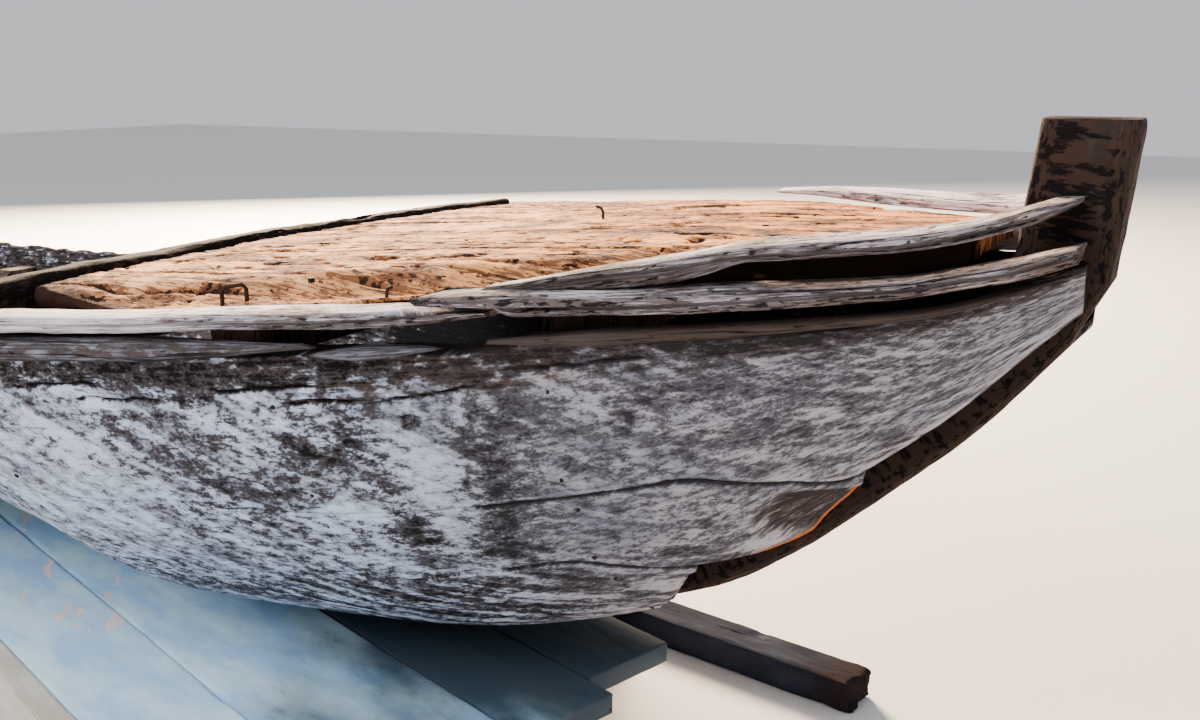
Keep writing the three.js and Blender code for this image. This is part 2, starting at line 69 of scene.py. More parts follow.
# The hull's driving sizes, as in the part's source
HALF_LENGTH = 3.2
SUPPORT = 0.135
PLANK = 0.045
RIM_DROP = 0.0173
END = HALF_LENGTH - 0.015
WAIST = 1.68
LOG_WIDTH = 0.078
LOG_HEIGHT = 0.033
WALE_LOW = 0.947
WALE_HIGH = 0.975
COVER_IN = 0.012
COVER_WIDTH = 0.096
COVER_HEIGHT = 0.022
COVER_RISE = 0.0018
# In both tables the first column is x, and the others are named by the line above the table
STATION_NAMES = ("breadth", "sheer", "keel", "keel_half", "fullness")
STATIONS = np.array([
    (0.000, 0.750, 0.490, 0.055, 0.120, 1.50),
    (0.900, 0.738, 0.512, 0.055, 0.120, 1.45),
    (1.500, 0.702, 0.550, 0.053, 0.105, 1.36),
    (1.720, 0.685, 0.570, 0.038, 0.092, 1.58),
    (1.930, 0.662, 0.590, 0.000, 0.080, 1.75),
    (2.280, 0.602, 0.616, 0.014, 0.050, 1.72),
    (2.680, 0.434, 0.640, 0.122, 0.046, 1.72),
    (3.030, 0.218, 0.654, 0.392, 0.046, 1.72),
    (3.200, 0.062, 0.690, 0.590, 0.046, 1.72),
])
SEAM_NAMES = ("low", "middle", "high")
SEAMS = np.array([
    (0.000, 0.15, 0.400, 0.680),
    (1.900, 0.15, 0.440, 0.680),
    (2.300, 0.15, 0.500, 0.675),
    (2.585, 0.14, 0.505, 0.660),
    (2.760, 0.12, 0.380, 0.650),
    (2.880, 0.11, 0.270, 0.545),
    (2.960, 0.11, 0.250, 0.430),
    (3.200, 0.13, 0.330, 0.550),
])
FINE = np.linspace(0, HALF_LENGTH, 1601)
# The planks get thinner to the ends, from THIN_FROM on, and keep a least half breadth
THIN_FROM = 2.6
THIN_BY = 0.7
LEAST_HALF = 0.04
ANGLE_STEP = 0.004
DECK_CLIMB = 0.014
DECK_CROWN = 0.014


def smooth_through(table, column):
    """A smooth curve through one column of a table, on the fine grid, that never overshoots its rows."""
    x, value = table[:, 0], table[:, column]
    rise = np.diff(value) / np.diff(x)
    slope = np.zeros(len(x))
    for i in range(1, len(x) - 1):
        if rise[i - 1] * rise[i] > 0:
            slope[i] = 2 * rise[i - 1] * rise[i] / (rise[i - 1] + rise[i])
    slope[-1] = rise[-1]
    i = np.clip(np.searchsorted(x, FINE) - 1, 0, len(x) - 2)
    width = x[i + 1] - x[i]
    t = (FINE - x[i]) / width
    straight = (1 + 2 * t) * (1 - t) ** 2 * value[i] + t * t * (3 - 2 * t) * value[i + 1]
    return straight + width * t * (1 - t) * ((1 - t) * slope[i] - t * slope[i + 1])


CURVES = {name: smooth_through(STATIONS, k + 1) for k, name in enumerate(STATION_NAMES)}
CURVES |= {name: smooth_through(SEAMS, k + 1) for k, name in enumerate(SEAM_NAMES)}


def curve(name, x):
    return np.interp(np.abs(x), FINE, CURVES[name])


def sheer_z(x):
    return SUPPORT + curve("sheer", x)


def keel_z(x):
    return SUPPORT + curve("keel", x)


def level(value):
    return lambda x: value + 0 * x


def through(*points):
    """A function of x that runs straight from point to point."""
    at, value = np.array(points).T
    return lambda x: np.interp(x, at, value)


def smoothstep(value, low, high):
    t = np.clip((value - low) / (high - low), 0, 1)
    return t * t * (3 - 2 * t)


def bell(value, width):
    return np.exp(-(value / width) ** 2)


def run_length(*coordinates):
    """Length along a line of points, from its first."""
    return np.concatenate([[0], np.cumsum(np.sqrt(sum(np.diff(part) ** 2 for part in coordinates)))])


def hull(x, girth, inset):
    """Half breadth and height of the planking at x, by girth, moved inwards from its outer face."""
    depth = sheer_z(x) - keel_z(x)
    keel_half = curve("keel_half", x)
    power = 2 / curve("fullness", x)
    wide = curve("breadth", x) - keel_half
    rim_angle = np.arccos((RIM_DROP / depth) ** (1 / power))

    def point(angle):
        return (keel_half + wide * np.maximum(np.sin(angle), 0) ** power,
                sheer_z(x) - depth * np.maximum(np.cos(angle), 0) ** power)

    angle = girth * rim_angle
    y, z = point(angle)
    ya, za = point(np.maximum(angle - ANGLE_STEP, 0))
    yb, zb = point(np.minimum(angle + ANGLE_STEP, math.pi / 2))
    length = np.hypot(yb - ya, zb - za)
    thin = 1 - THIN_BY * np.clip((np.abs(x) - THIN_FROM) / (HALF_LENGTH - THIN_FROM), 0, 1)
    move = np.where(inset > 0, inset * thin, inset)
    return np.maximum(y - move * (zb - za) / length, LEAST_HALF), z + move * (yb - ya) / length


# Seeded value noise, from -1 to 1, for the shapes
OCTAVE_SHARE = 0.55
MIX_X = 374761393
MIX_Y = 668265263
MIX_SEED = 974634777
MIX_AGAIN = 1274126177
ALL_BITS = 0xFFFFFFFF
LOW_BITS = 0xFFFF


def lattice(ix, iy, seed):
    """A random number from -1 to 1 for each whole place."""
    n = (ix.astype(np.int64) * MIX_X + iy.astype(np.int64) * MIX_Y + seed * MIX_SEED) & ALL_BITS
    n = ((n ^ (n >> 13)) * MIX_AGAIN) & ALL_BITS
    return ((n ^ (n >> 16)) & LOW_BITS) / (LOW_BITS / 2) - 1


def noise(x, y, seed, octaves=1):
    """Smooth noise: each octave is twice as fine as the one before, and weaker."""
    total, size, amount = 0.0, 1.0, 0.0
    for k in range(octaves):
        u, v = np.broadcast_arrays(np.asarray(x, float) * 2 ** k, np.asarray(y, float) * 2 ** k)
        iu, iv = np.floor(u), np.floor(v)
        fu, fv = u - iu, v - iv
        fu, fv = fu * fu * (3 - 2 * fu), fv * fv * (3 - 2 * fv)
        near = lattice(iu, iv, seed + k) * (1 - fu) + lattice(iu + 1, iv, seed + k) * fu
        far = lattice(iu, iv + 1, seed + k) * (1 - fu) + lattice(iu + 1, iv + 1, seed + k) * fu
        total = total + size * (near * (1 - fv) + far * fv)
        amount += size
        size *= OCTAVE_SHARE
    return total / amount


def cracks(s, t, seed, along, across, width):
    """1 in the middle of long splits with the grain, 0 between them. s and t in metres."""
    wander = noise(s / along * 2.3, t / across * 0.5, seed + 50) * 0.35
    ridge = np.abs(noise(s / along, t / across + wander, seed))
    there = smoothstep(noise(s / along * 0.8, t / across * 0.6, seed + 90), 0.0, 0.35)
    return (1 - smoothstep(ridge, 0, width)) * there


# Meshes from rings of points
SHARP_ANGLE = math.radians(50)
FINISHES = {}


def vectors(*parts):
    return np.stack(np.broadcast_arrays(*parts), axis=-1).astype(np.float32)


def set_vectors(mesh, label, values):
    mesh.attributes.new(label, "FLOAT_VECTOR", "POINT").data.foreach_set("vector", np.ravel(values))


def make_piece(name, rings, grain, wear, finish, node=None):
    """A closed timber through equal rings of points, with its grain's coordinates and three kinds of wear,
    which also carry painted light and shade.
    """
    count, size = rings.shape[:2]
    index = np.arange(count * size).reshape(count, size)
    ahead = np.roll(index, -1, axis=1)
    sides = np.stack([index[:-1], ahead[:-1], ahead[1:], index[1:]], axis=-1).reshape(-1, 4)
    points = rings.reshape(-1, 3)
    a, b, c, d = (points[sides[:, k]] for k in range(4))
    volume = np.einsum("ij,ij->", a - points.mean(axis=0), np.cross(c - a, d - b))
    faces = sides.tolist() + [index[0][::-1].tolist(), index[-1].tolist()]
    if volume < 0:
        faces = [face[::-1] for face in faces]
    mesh = bpy.data.meshes.new(name)
    mesh.from_pydata(points.tolist(), [], faces)
    for label, parts in (("grain", grain), ("wear", wear)):
        set_vectors(mesh, label, np.broadcast_to(vectors(*parts), rings.shape))
    mesh.polygons.foreach_set("use_smooth", [True] * len(mesh.polygons))
    mesh.set_sharp_from_angle(angle=SHARP_ANGLE)
    mesh.materials.append(FINISHES[finish]["material"])
    piece = add(name, mesh)
    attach(piece, "root")
    if node:
        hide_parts(node)


class Tree:
    """A node tree, and the one method that makes its nodes."""

    def __init__(self, tree, prefix):
        self.tree = tree
        self.prefix = prefix

    def node(self, kind, settings=None, out=0, **sockets):
        """A node: its settings first, then values or links for its sockets, by name, or by number as i0."""
        made = self.tree.nodes.new(self.prefix + kind)
        for key, value in (settings or {}).items():
            setattr(made, key, value)
        for key, value in sockets.items():
            socket = made.inputs[int(key[1:])] if key[0] == "i" and key[1:].isdigit() else made.inputs[key]
            if isinstance(value, Value):
                self.tree.links.new(value.socket, socket)
            else:
                socket.default_value = value
        return Value(self, made.outputs[out] if made.outputs else None)


class Look(Tree):
    """A material's node tree, with its shader's own sockets."""

    def __init__(self, name, roughness=0.9, sheen=0.12):
        self.material = bpy.data.materials.new(name)
        self.material.use_nodes = True
        super().__init__(self.material.node_tree, "ShaderNode")
        self.surface = self.tree.nodes["Principled BSDF"].inputs
        self.surface["Roughness"].default_value = roughness
        self.surface["Specular IOR Level"].default_value = sheen

    def feed(self, name, value):
        self.tree.links.new(value.socket, self.surface[name])

    def finish(self, colour, roughness, height, depth, strength=0.9):
        """The material, when its colour, roughness and relief are linked."""
        self.feed("Base Color", colour)
        self.feed("Roughness", roughness)
        self.feed("Normal", self.node("Bump", None, 0, Height=height, Distance=depth, Strength=strength))
        return self.material

    def place(self):
        return self.node("TexCoord", None, "Object")

    def attribute(self, name):
        return self.node("Attribute", {"attribute_name": name}, "Vector")

    def lookup(self, plain):
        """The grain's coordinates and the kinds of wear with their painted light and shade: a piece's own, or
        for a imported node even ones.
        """
        if plain:
            return self.place(), self.node("CombineXYZ", None, 0, i0=0.35, i1=0.2, i2=0.0).parts()
        return self.attribute("grain"), self.attribute("wear").parts()

    def mix(self, factor, a, b):
        """Colour a, going to colour b where factor is 1."""
        settings = {"data_type": "RGBA", "blend_type": "MIX", "clamp_factor": True}
        a, b = (colour if isinstance(colour, Value) else (*colour, 1) for colour in (a, b))
        return self.node("Mix", settings, 2, Factor=factor, i6=a, i7=b)

    def slanted(self, place, angle):
        return self.node("VectorRotate", {"rotation_type": "Z_AXIS"}, 0, Vector=place, Angle=angle)

    def clouds(self, place, scale, detail, rough, shift=(0, 0, 0)):
        """Noise from 0 to 1 at a scale for each direction."""
        scaled = self.node("VectorMath", {"operation": "MULTIPLY"}, i0=place, i1=scale)
        moved = self.node("VectorMath", {"operation": "ADD"}, i0=scaled, i1=shift)
        return self.node("TexNoise", None, 0, Vector=moved, Scale=1.0, Detail=detail, Roughness=rough)

    def ramp(self, value, low, high):
        return self.node("MapRange", None, 0, i0=value, i1=low, i2=high)

    def fade(self, value, low, high):
        return self.node("MapRange", {"interpolation_type": "SMOOTHSTEP"}, 0, i0=value, i1=low, i2=high)


class Value:
    """A socket, with the operators of arithmetic."""

    def __init__(self, tree, socket):
        self.tree = tree
        self.socket = socket

    def other(self, out):
        """Another socket of the same node."""
        return Value(self.tree, self.socket.node.outputs[out])

    def parts(self):
        """The three numbers of a vector."""
        split = self.tree.node("SeparateXYZ", None, 0, i0=self)
        return [split.other(k) for k in range(3)]

    def maths(self, operation, *others):
        sockets = {f"i{k}": value for k, value in enumerate((self, *others))}
        return self.tree.node("Math", {"operation": operation}, **sockets)

    def __add__(self, other):
        return self.maths("ADD", other)

    def __sub__(self, other):
        return self.maths("SUBTRACT", other)

    def __rsub__(self, other):
        return self.tree.node("Math", {"operation": "SUBTRACT"}, i0=other, i1=self)

    def __mul__(self, other):
        return self.maths("MULTIPLY", other)

    __radd__ = __add__
    __rmul__ = __mul__


# Finishes. Old wood: colours from pale to dark, how easily dark marks and pits show, and how rough it is.
OLD_WOOD = [
    {"name": "rim", "slot": "rim_timber", "pale": (0.86, 0.75, 0.79), "middle": (0.34, 0.30, 0.32),
     "dark": (0.024, 0.019, 0.020), "brown": (0.12, 0.075, 0.055), "marks": 0.12, "stain": 0.8, "fibre": 1.5,
     "pits": 0.67, "depth": 0.0030},
    {"name": "grey", "slot": "rim_timber", "pale": (0.27, 0.26, 0.30), "middle": (0.075, 0.067, 0.077),
     "dark": (0.014, 0.011, 0.011), "brown": (0.075, 0.048, 0.036), "marks": 0.12, "stain": 0.8, "fibre": 1.7,
     "pits": 0.76, "depth": 0.0030},
    {"name": "brown", "slot": "dark_timber", "pale": (0.085, 0.060, 0.050), "middle": (0.034, 0.023, 0.019),
     "dark": (0.007, 0.005, 0.005), "brown": (0.045, 0.024, 0.017), "marks": 0.06, "stain": 0.8, "fibre": 1.0,
     "pits": 0.66, "depth": 0.0022},
    {"name": "deck", "slot": "deck_planks", "pale": (1.00, 0.53, 0.25), "middle": (0.60, 0.23, 0.085),
     "dark": (0.028, 0.012, 0.008), "brown": (0.14, 0.050, 0.024), "marks": 0.20, "stain": 1.5, "fibre": 1.4,
     "pits": 0.66, "depth": 0.0045, "forward": (1.00, 0.40, 0.11)},
    {"name": "inside", "slot": "hold_timber", "pale": (0.26, 0.21, 0.18), "middle": (0.11, 0.085, 0.07),
     "dark": (0.016, 0.012, 0.010), "brown": (0.07, 0.042, 0.028), "marks": 0.08, "stain": 0.8, "fibre": 1.0,
     "pits": 0.66, "depth": 0.0018},
]
# The hull's orange colour (0.60, 0.15, 0.025) is a painted glint of sunlight
HULL = {"name": "hull", "slot": "hull_planks", "pale": (0.74, 0.82, 1.0), "middle": (0.20, 0.20, 0.24),
        "dark": (0.068, 0.056, 0.056), "darkest": (0.013, 0.010, 0.010), "brown": (0.105, 0.062, 0.050),
        "bare": (0.60, 0.15, 0.025), "dull": (0.50, 0.475, 0.50), "depth": 0.0020}
# Where along the boat the deck's wood goes to its forward colour, and where the hull goes dull at the bow
DECK_TURNS = (2.1, 2.75)
HULL_TURNS = (2.42, 2.66)
STREAK_SLANT = math.radians(36)
PATCH_SLANT = math.radians(22)


def old_wood(name, row, plain):
    """Bare weathered wood: fibres and splits with the grain, dark flecks and pits, brown where it is torn, pale
    under a painted highlight and dark under painted shade.
    """
    look = Look(name)
    where, (grime, torn, painted_light) = look.lookup(plain)
    fibre = look.clouds(where, (14, 420, 3), 3, 0.6)
    streak = look.clouds(where, (3.2, 60, 1), 4, 0.6, (7, 3, 1))
    stain = look.clouds(where, (9, 13, 1), 5, 0.62, (3, 9, 2))
    fleck = look.clouds(where, (34, 190, 1), 5, 0.68, (1, 8, 3))
    pit = look.clouds(where, (60, 120, 1), 4, 0.6, (4, 8, 8))
    split_line = look.clouds(where, (1.1, 42, 1), 3, 0.5, (2, 2, 6))
    here = look.fade(look.clouds(where, (5, 9, 1), 2, 0.5, (8, 1, 5)), 0.40, 0.56)
    deep = here - here * look.fade((split_line - 0.5).maths("ABSOLUTE"), 0.0, 0.012)
    age = (stain - 0.5) * row["stain"] + (streak - 0.5) * 0.3 + grime * 0.35 + row["marks"]
    marks = look.fade(fleck + age * 0.5, 0.60, 0.66)
    pits = look.fade(pit + age * 0.4, row["pits"], row["pits"] + 0.06)
    pale = row["pale"]
    if "forward" in row:
        pale = look.mix(look.fade(look.place().parts()[0], *DECK_TURNS), pale, row["forward"])
    greyed = look.fade(age * 0.9 + (fibre - 0.5) * row["fibre"] + 0.5, 0.40, 0.85)
    base = look.mix(greyed, pale, row["middle"])
    base = look.mix(torn * 0.85, base, row["brown"])
    # Painted highlight: where the third wear channel is above 0 the wood turns pale
    base = look.mix(painted_light, base, pale)
    base = look.mix(marks * 0.8, base, row["brown"])
    base = look.mix(pits.maths("MAXIMUM", deep), base, row["dark"])
    # Painted shade: where it is below 0 the wood turns dark
    base = look.mix(painted_light * -1, base, row["dark"])
    height = fibre * 0.4 + streak * 0.4 - deep * 1.2 - marks * 0.3 - pits * 0.8
    return look.finish(base, 0.95 - painted_light * 0.1 - streak * 0.12, height, row["depth"])


def weathered_hull(name, row, plain):
    """Chalky pale wood that comes away in dark specks and blotches, with streaks slanting down forwards, and an
    orange painted glint of sunlight where the third wear channel is above 0.
    """
    look = Look(name)
    where, (zone, torn, bare) = look.lookup(plain)
    slanted = look.slanted(where, STREAK_SLANT)
    speck = look.clouds(where, (50, 74, 1), 4, 0.60, (1, 8, 3))
    grit = look.clouds(where, (190, 260, 1), 2, 0.6, (8, 3, 3))
    blotch = look.clouds(where, (15, 20, 1), 5, 0.62, (3, 9, 2))
    streak = look.clouds(slanted, (7, 38, 1), 4, 0.62, (5, 5, 4))
    cloudy = look.clouds(slanted, (5, 11, 1), 4, 0.6, (2, 5, 9))
    fibre = look.clouds(where, (20, 380, 3), 3, 0.6)
    strand = look.clouds(where, (9, 120, 1), 4, 0.62, (6, 2, 8))
    crack = look.clouds(where, (11, 170, 1), 3, 0.55, (9, 1, 7))
    dash = look.clouds(where, (34, 150, 1), 4, 0.66, (2, 6, 4))
    streaky = (bare * -1).maths("MAXIMUM", 0.0)
    age = zone + (blotch - 0.5) * 1.7 + (streak - 0.5) * (streaky * 2.2 + 1.3) + (strand - 0.5) * torn * 2.6
    mottle = (speck - 0.5) * 3.4 + (grit - 0.5) * 1.2 + (streak - 0.5) * 2.8 + (cloudy - 0.5) * 2.2
    grey = look.ramp(age + (fibre - 0.5) * 0.5 + mottle, -0.28, 0.98)
    dark = look.ramp(age + (speck - 0.5) * 2.6 + (grit - 0.5) * 1.6, 0.61, 0.87)
    darkest = look.fade(age + (speck - 0.5) * 2.8 + (grit - 0.5) * 1.4, 1.0, 1.35)
    lines = look.fade(crack + zone * 0.10, 0.72, 0.78) * 0.8
    dashes = look.fade(dash + age * 0.10 + (speck - 0.5) * 0.25, 0.63, 0.68) * 0.75
    rusty = torn * look.fade(blotch + (speck - 0.5) * 0.8, 0.32, 0.52)
    bow = look.fade(look.place().parts()[0], *HULL_TURNS)
    base = look.mix(bow, row["pale"], row["dull"])
    base = look.mix(grey, base, row["middle"])
    base = look.mix(rusty, base, row["brown"])
    base = look.mix(dark * (0.92 - bow * 0.27), base, row["dark"])
    base = look.mix(dashes * (1 - bow * 0.5), base, row["dark"])
    base = look.mix(darkest.maths("MAXIMUM", lines) * (1 - bow * 0.35), base, row["darkest"])
    # Painted glint of sunlight, in orange
    base = look.mix(bare.maths("MAXIMUM", 0.0), base, row["bare"])
    height = speck * 0.6 + fibre * 0.25 + grit * 0.2 - dark * 0.5 - lines * 1.0 - dashes * 0.5
    return look.finish(base, 0.92 - grey * 0.08, height, row["depth"])


for row, make_look in [(row, old_wood) for row in OLD_WOOD] + [(HULL, weathered_hull)]:
    for plain in (False, True):
        name = row["name"] + ("_plain" if plain else "")
        FINISHES[name] = {"slot": row["slot"], "material": make_look(name, row, plain)}

PAINTS = [
    # The blue boards' pale pink is painted sunlight, and their last colour the painted shadow of the hull
    {"name": "painted", "slot": "painted_board", "paint": (0.44, 0.69, 0.95), "faded": (0.72, 0.94, 1.0),
     "bare": (1.00, 0.80, 0.72), "worn": 0.56, "rough": 0.68, "sheen": 0.25, "dirt": (0.10, 0.13, 0.15),
     "damp": (0.021, 0.036, 0.049)},
    # The squared timber's paint is darkened nearly to black as painted shade
    {"name": "timber", "slot": "painted_board", "paint": (0.012, 0.015, 0.023),
     "faded": (0.030, 0.036, 0.054), "bare": (0.07, 0.05, 0.04), "worn": 0.62, "rough": 0.95, "sheen": 0.03,
     "dirt": (0.02, 0.018, 0.018), "damp": (0.012, 0.010, 0.010)},
    {"name": "cream", "slot": "cream_board", "paint": (0.62, 0.52, 0.40), "faded": (0.74, 0.66, 0.54),
     "bare": (0.30, 0.24, 0.19), "worn": 0.66, "rough": 0.78, "sheen": 0.25, "dirt": (0.07, 0.065, 0.06),
     "damp": (0.05, 0.045, 0.04)},
]
TORN_COLOUR = (0.02, 0.012, 0.010)
BARE_ROUGH = 0.98
PAINT_DEPTH = 0.0009
PAINT_STRENGTH = 0.8
RUST_DARK = (0.020, 0.014, 0.012)
RUST_BROWN = (0.046, 0.026, 0.018)


def worn_paint(row):
    """Old paint on boards: faded, brushed along the grain, with pale slanting patches, which are rubbed-through
    paint on the cream edge and the timber and painted sunlight on the blue boards, and a painted shadow of the
    hull over the blue boards.
    """
    look = Look(row["name"], sheen=row["sheen"])
    where, (grime, torn, bare) = look.lookup(False)
    faded = look.clouds(where, (5, 12, 1), 4, 0.6)
    brush = look.clouds(where, (9, 240, 1), 3, 0.6, (4, 4, 2))
    patch = look.clouds(look.slanted(where, PATCH_SLANT), (6, 17, 1), 4, 0.6, (6, 1, 7))
    dirt = look.clouds(where, (18, 34, 1), 5, 0.66, (2, 7, 5))
    rubbed_and_sunlit = look.fade(patch + brush * 0.12 + bare * 0.25 - 0.06, row["worn"] + 0.06, row["worn"] + 0.10)
    base = look.mix(look.fade(faded, 0.35, 0.65), row["paint"], row["faded"])
    base = look.mix(look.fade(brush, 0.45, 0.75) * 0.3, base, row["faded"])
    base = look.mix(rubbed_and_sunlit, base, row["bare"])
    base = look.mix(look.fade(dirt + grime * 0.10, 0.62, 0.95) * 0.85, base, row["dirt"])
    # Painted shadow of the hull on the boards, with the squared timber's dark end, in the last colour
    base = look.mix(look.fade(grime + (dirt - 0.5) * 0.25, 0.10, 0.90) * 0.96, base, row["damp"])
    base = look.mix(torn, base, TORN_COLOUR)
    rough = rubbed_and_sunlit * (BARE_ROUGH - row["rough"]) + row["rough"]
    height = brush * 0.4 - rubbed_and_sunlit * 0.35 + dirt * 0.2
    return look.finish(base, rough, height, PAINT_DEPTH, PAINT_STRENGTH)


def rust():
    look = Look("rust", 0.8)
    spots = look.clouds(look.place(), (90, 90, 90), 4, 0.6)
    look.feed("Base Color", look.mix(look.fade(spots, 0.40, 0.62), RUST_DARK, RUST_BROWN))
    return look.material


for row in PAINTS:
    FINISHES[row["name"]] = {"slot": row["slot"], "material": worn_paint(row)}
FINISHES["iron"] = {"slot": "dark_timber", "material": rust()}

# Distance between a timber's rings forward of CLOSE_FROM, where the photograph shows it, and elsewhere
CLOSE_FROM = 1.75
NEAR = 0.0045
FAR = 0.04


def stations(start, end, near, far=FAR, close_from=CLOSE_FROM):
    def spaced(low, high, step, least, endpoint=True):
        return np.linspace(low, high, max(int((high - low) / step), least), endpoint=endpoint)

    if end <= close_from:
        return spaced(start, end, far, 6)
    if start >= close_from:
        return spaced(start, end, near, 6)
    return np.concatenate([spaced(start, close_from, far, 4, False), spaced(close_from, end, near, 4)])


def corner(distance, radius):
    """How far a rounded corner lies below the face at a distance from the edge."""
    t = np.clip(1 - distance / np.maximum(radius, 1e-6), 0, 1)
    return radius * (1 - np.sqrt(np.maximum(1 - t * t, 0)))


# Dark and pale patches of the starboard bow: x, girth, half length, half height by girth, how much darker
PATCHES = [
    (1.94, 0.71, 0.16, 0.16, -0.36),
    (2.06, 0.66, 0.12, 0.12, -0.16),
    (2.20, 0.80, 0.08, 0.12, 0.16),
    (2.31, 0.84, 0.05, 0.05, -0.22),
    (2.30, 0.72, 0.07, 0.06, 0.14),
    (2.42, 0.81, 0.07, 0.09, 0.34),
    (2.41, 0.683, 0.045, 0.04, -0.30),
    (2.465, 0.63, 0.030, 0.08, 0.36),
    (2.512, 0.79, 0.045, 0.09, -0.42),
    (2.51, 0.66, 0.028, 0.09, -0.40),
    (2.605, 0.83, 0.035, 0.08, 0.42),
    (2.585, 0.70, 0.040, 0.11, 0.58),
    (2.56, 0.58, 0.040, 0.08, 0.42),
    (2.70, 0.60, 0.08, 0.06, -0.12),
    (2.72, 0.86, 0.09, 0.06, 0.10),
    (2.90, 0.80, 0.17, 0.30, 0.26),
    (2.54, 0.38, 0.24, 0.12, 0.30),
    (2.05, 0.43, 0.30, 0.06, 0.26),
]
# Knots of the starboard bow: x, girth, size
KNOTS = [(2.51, 0.83, 0.011), (2.73, 0.795, 0.013)]
# Long splits of the top strake below the wale: from and to along the boat, girth at both
SPLITS = [
    (1.96, 2.14, 0.893, 0.897),
    (2.06, 2.22, 0.872, 0.874),
    (2.27, 2.43, 0.890, 0.893),
    (2.36, 2.47, 0.866, 0.868),
    (2.47, 2.61, 0.862, 0.884),
    (2.60, 2.78, 0.905, 0.910),
]
# Depth of the starboard top strake's split upper edge below the sheer
split_depth = through((0.0, 0.018), (1.5, 0.018), (1.85, 0.058), (2.0, 0.062), (2.25, 0.066), (2.45, 0.065),
                      (2.57, 0.066), (2.64, 0.054), (2.72, 0.049), (2.95, 0.050), (3.08, 0.030), (3.2, 0.018))
SEAM_GAP = 0.0006
SIDE_END = END - 0.225
SIDE_ROUNDED = 0.075
# Length along the side, and round the section at the shoulder of the bow, for the grain
SIDE_RUN = run_length(FINE, CURVES["breadth"])
SHOULDER = 2.3
GIRTHS = np.linspace(0, 1, 201)
GIRTH_RUN = run_length(*hull(SHOULDER + 0 * GIRTHS, GIRTHS, 0.0))


def patches(x, girth):
    return sum(darker * np.exp(-((x - at) / long) ** 2 - ((girth - up) / high) ** 2)
               for at, up, long, high, darker in PATCHES)


def strake_end(q):
    """Where the side strake ends, by share of its width: its lower corner is rounded away."""
    return SIDE_END - SIDE_ROUNDED * (1 - q) ** 2.2


def scoop(x, q):
    """The side strake's rounded fore end."""
    return x - smoothstep(x, 2.70, SIDE_END) * (SIDE_END - strake_end(q))


def hollow_end(x, q):
    """The hollow worn into the side strake's fore end, and a painted glint of sunlight on its end rim and lower
    lip, from 0 to 1.
    """
    away = np.hypot((x - 2.900) / 0.066, (q - 0.46) / 0.44) + 0.06 * noise(x / 0.02, q * 5, 93, 2)
    tip = smoothstep(x, strake_end(q) - 0.011, strake_end(q) - 0.005) * (1 - smoothstep(q, 0.60, 0.72))
    under = smoothstep(q, 0.0, 0.03) * (1 - smoothstep(q, 0.06, 0.10)) * smoothstep(x, 2.80, 2.84)
    return 1 - smoothstep(away, 0.62, 1.12), np.maximum(tip, under)


def seam_marks(x, q, from_edge, lit_edge):
    """Dark in the open seams near the bow. A plank's lit edge, 0 its low one and 1 its high, carries a painted
    highlight.
    """
    marks = bell(from_edge, 0.0032)
    if lit_edge is not None:
        broken_up = 0.5 + 0.6 * noise(x / 0.03, 0.4, 73, 2) + 0.4 * smoothstep(x, 2.86, 2.90)
        marks = marks - 0.6 * broken_up * (np.abs(q - lit_edge) < 0.5) * bell(from_edge - 0.0085, 0.0035)
    return smoothstep(x, 2.50, 2.64) * marks


def brown_band(x, girth, s):
    """Brown fibres below the wale, where the plank's upper edge has split away."""
    low = 0.895 + 0.025 * noise(s / 0.08, 0.3, 71, 3) - 0.02 * smoothstep(x, 2.3, 2.5)
    here = 0.35 + 0.65 * smoothstep(x, 2.15, 2.35) - 0.4 * smoothstep(x, 2.62, 2.8)
    return smoothstep(girth, low - 0.012, low + 0.018) * here


def split_at(x, girth, low, high):
    """1 on the long splits of the top strake, from low to high metres off their middle line."""
    total = 0 * x
    for k, (start, end, start_girth, end_girth) in enumerate(SPLITS):
        share = (x - start) / (end - start)
        middle = start_girth + (end_girth - start_girth) * share + 0.006 * noise(x / 0.035, k, 95, 3)
        here = smoothstep(share, 0.0, 0.2) * (1 - smoothstep(share, 0.75, 1.0))
        total = np.maximum(total, here * bell((girth - middle) * 0.9 - (low + high) / 2, high - low))
    return total


def split_edge(x, s):
    """How far the top strake's upper edge has split away, in metres, along the starboard side."""
    frayed = 0.004 * noise(s / 0.07, 0.2, 81, 3) + 0.002 * noise(s / 0.016, 0.6, 82, 2)
    return split_depth(x) - RIM_DROP + frayed * smoothstep(x, 1.2, 1.9)


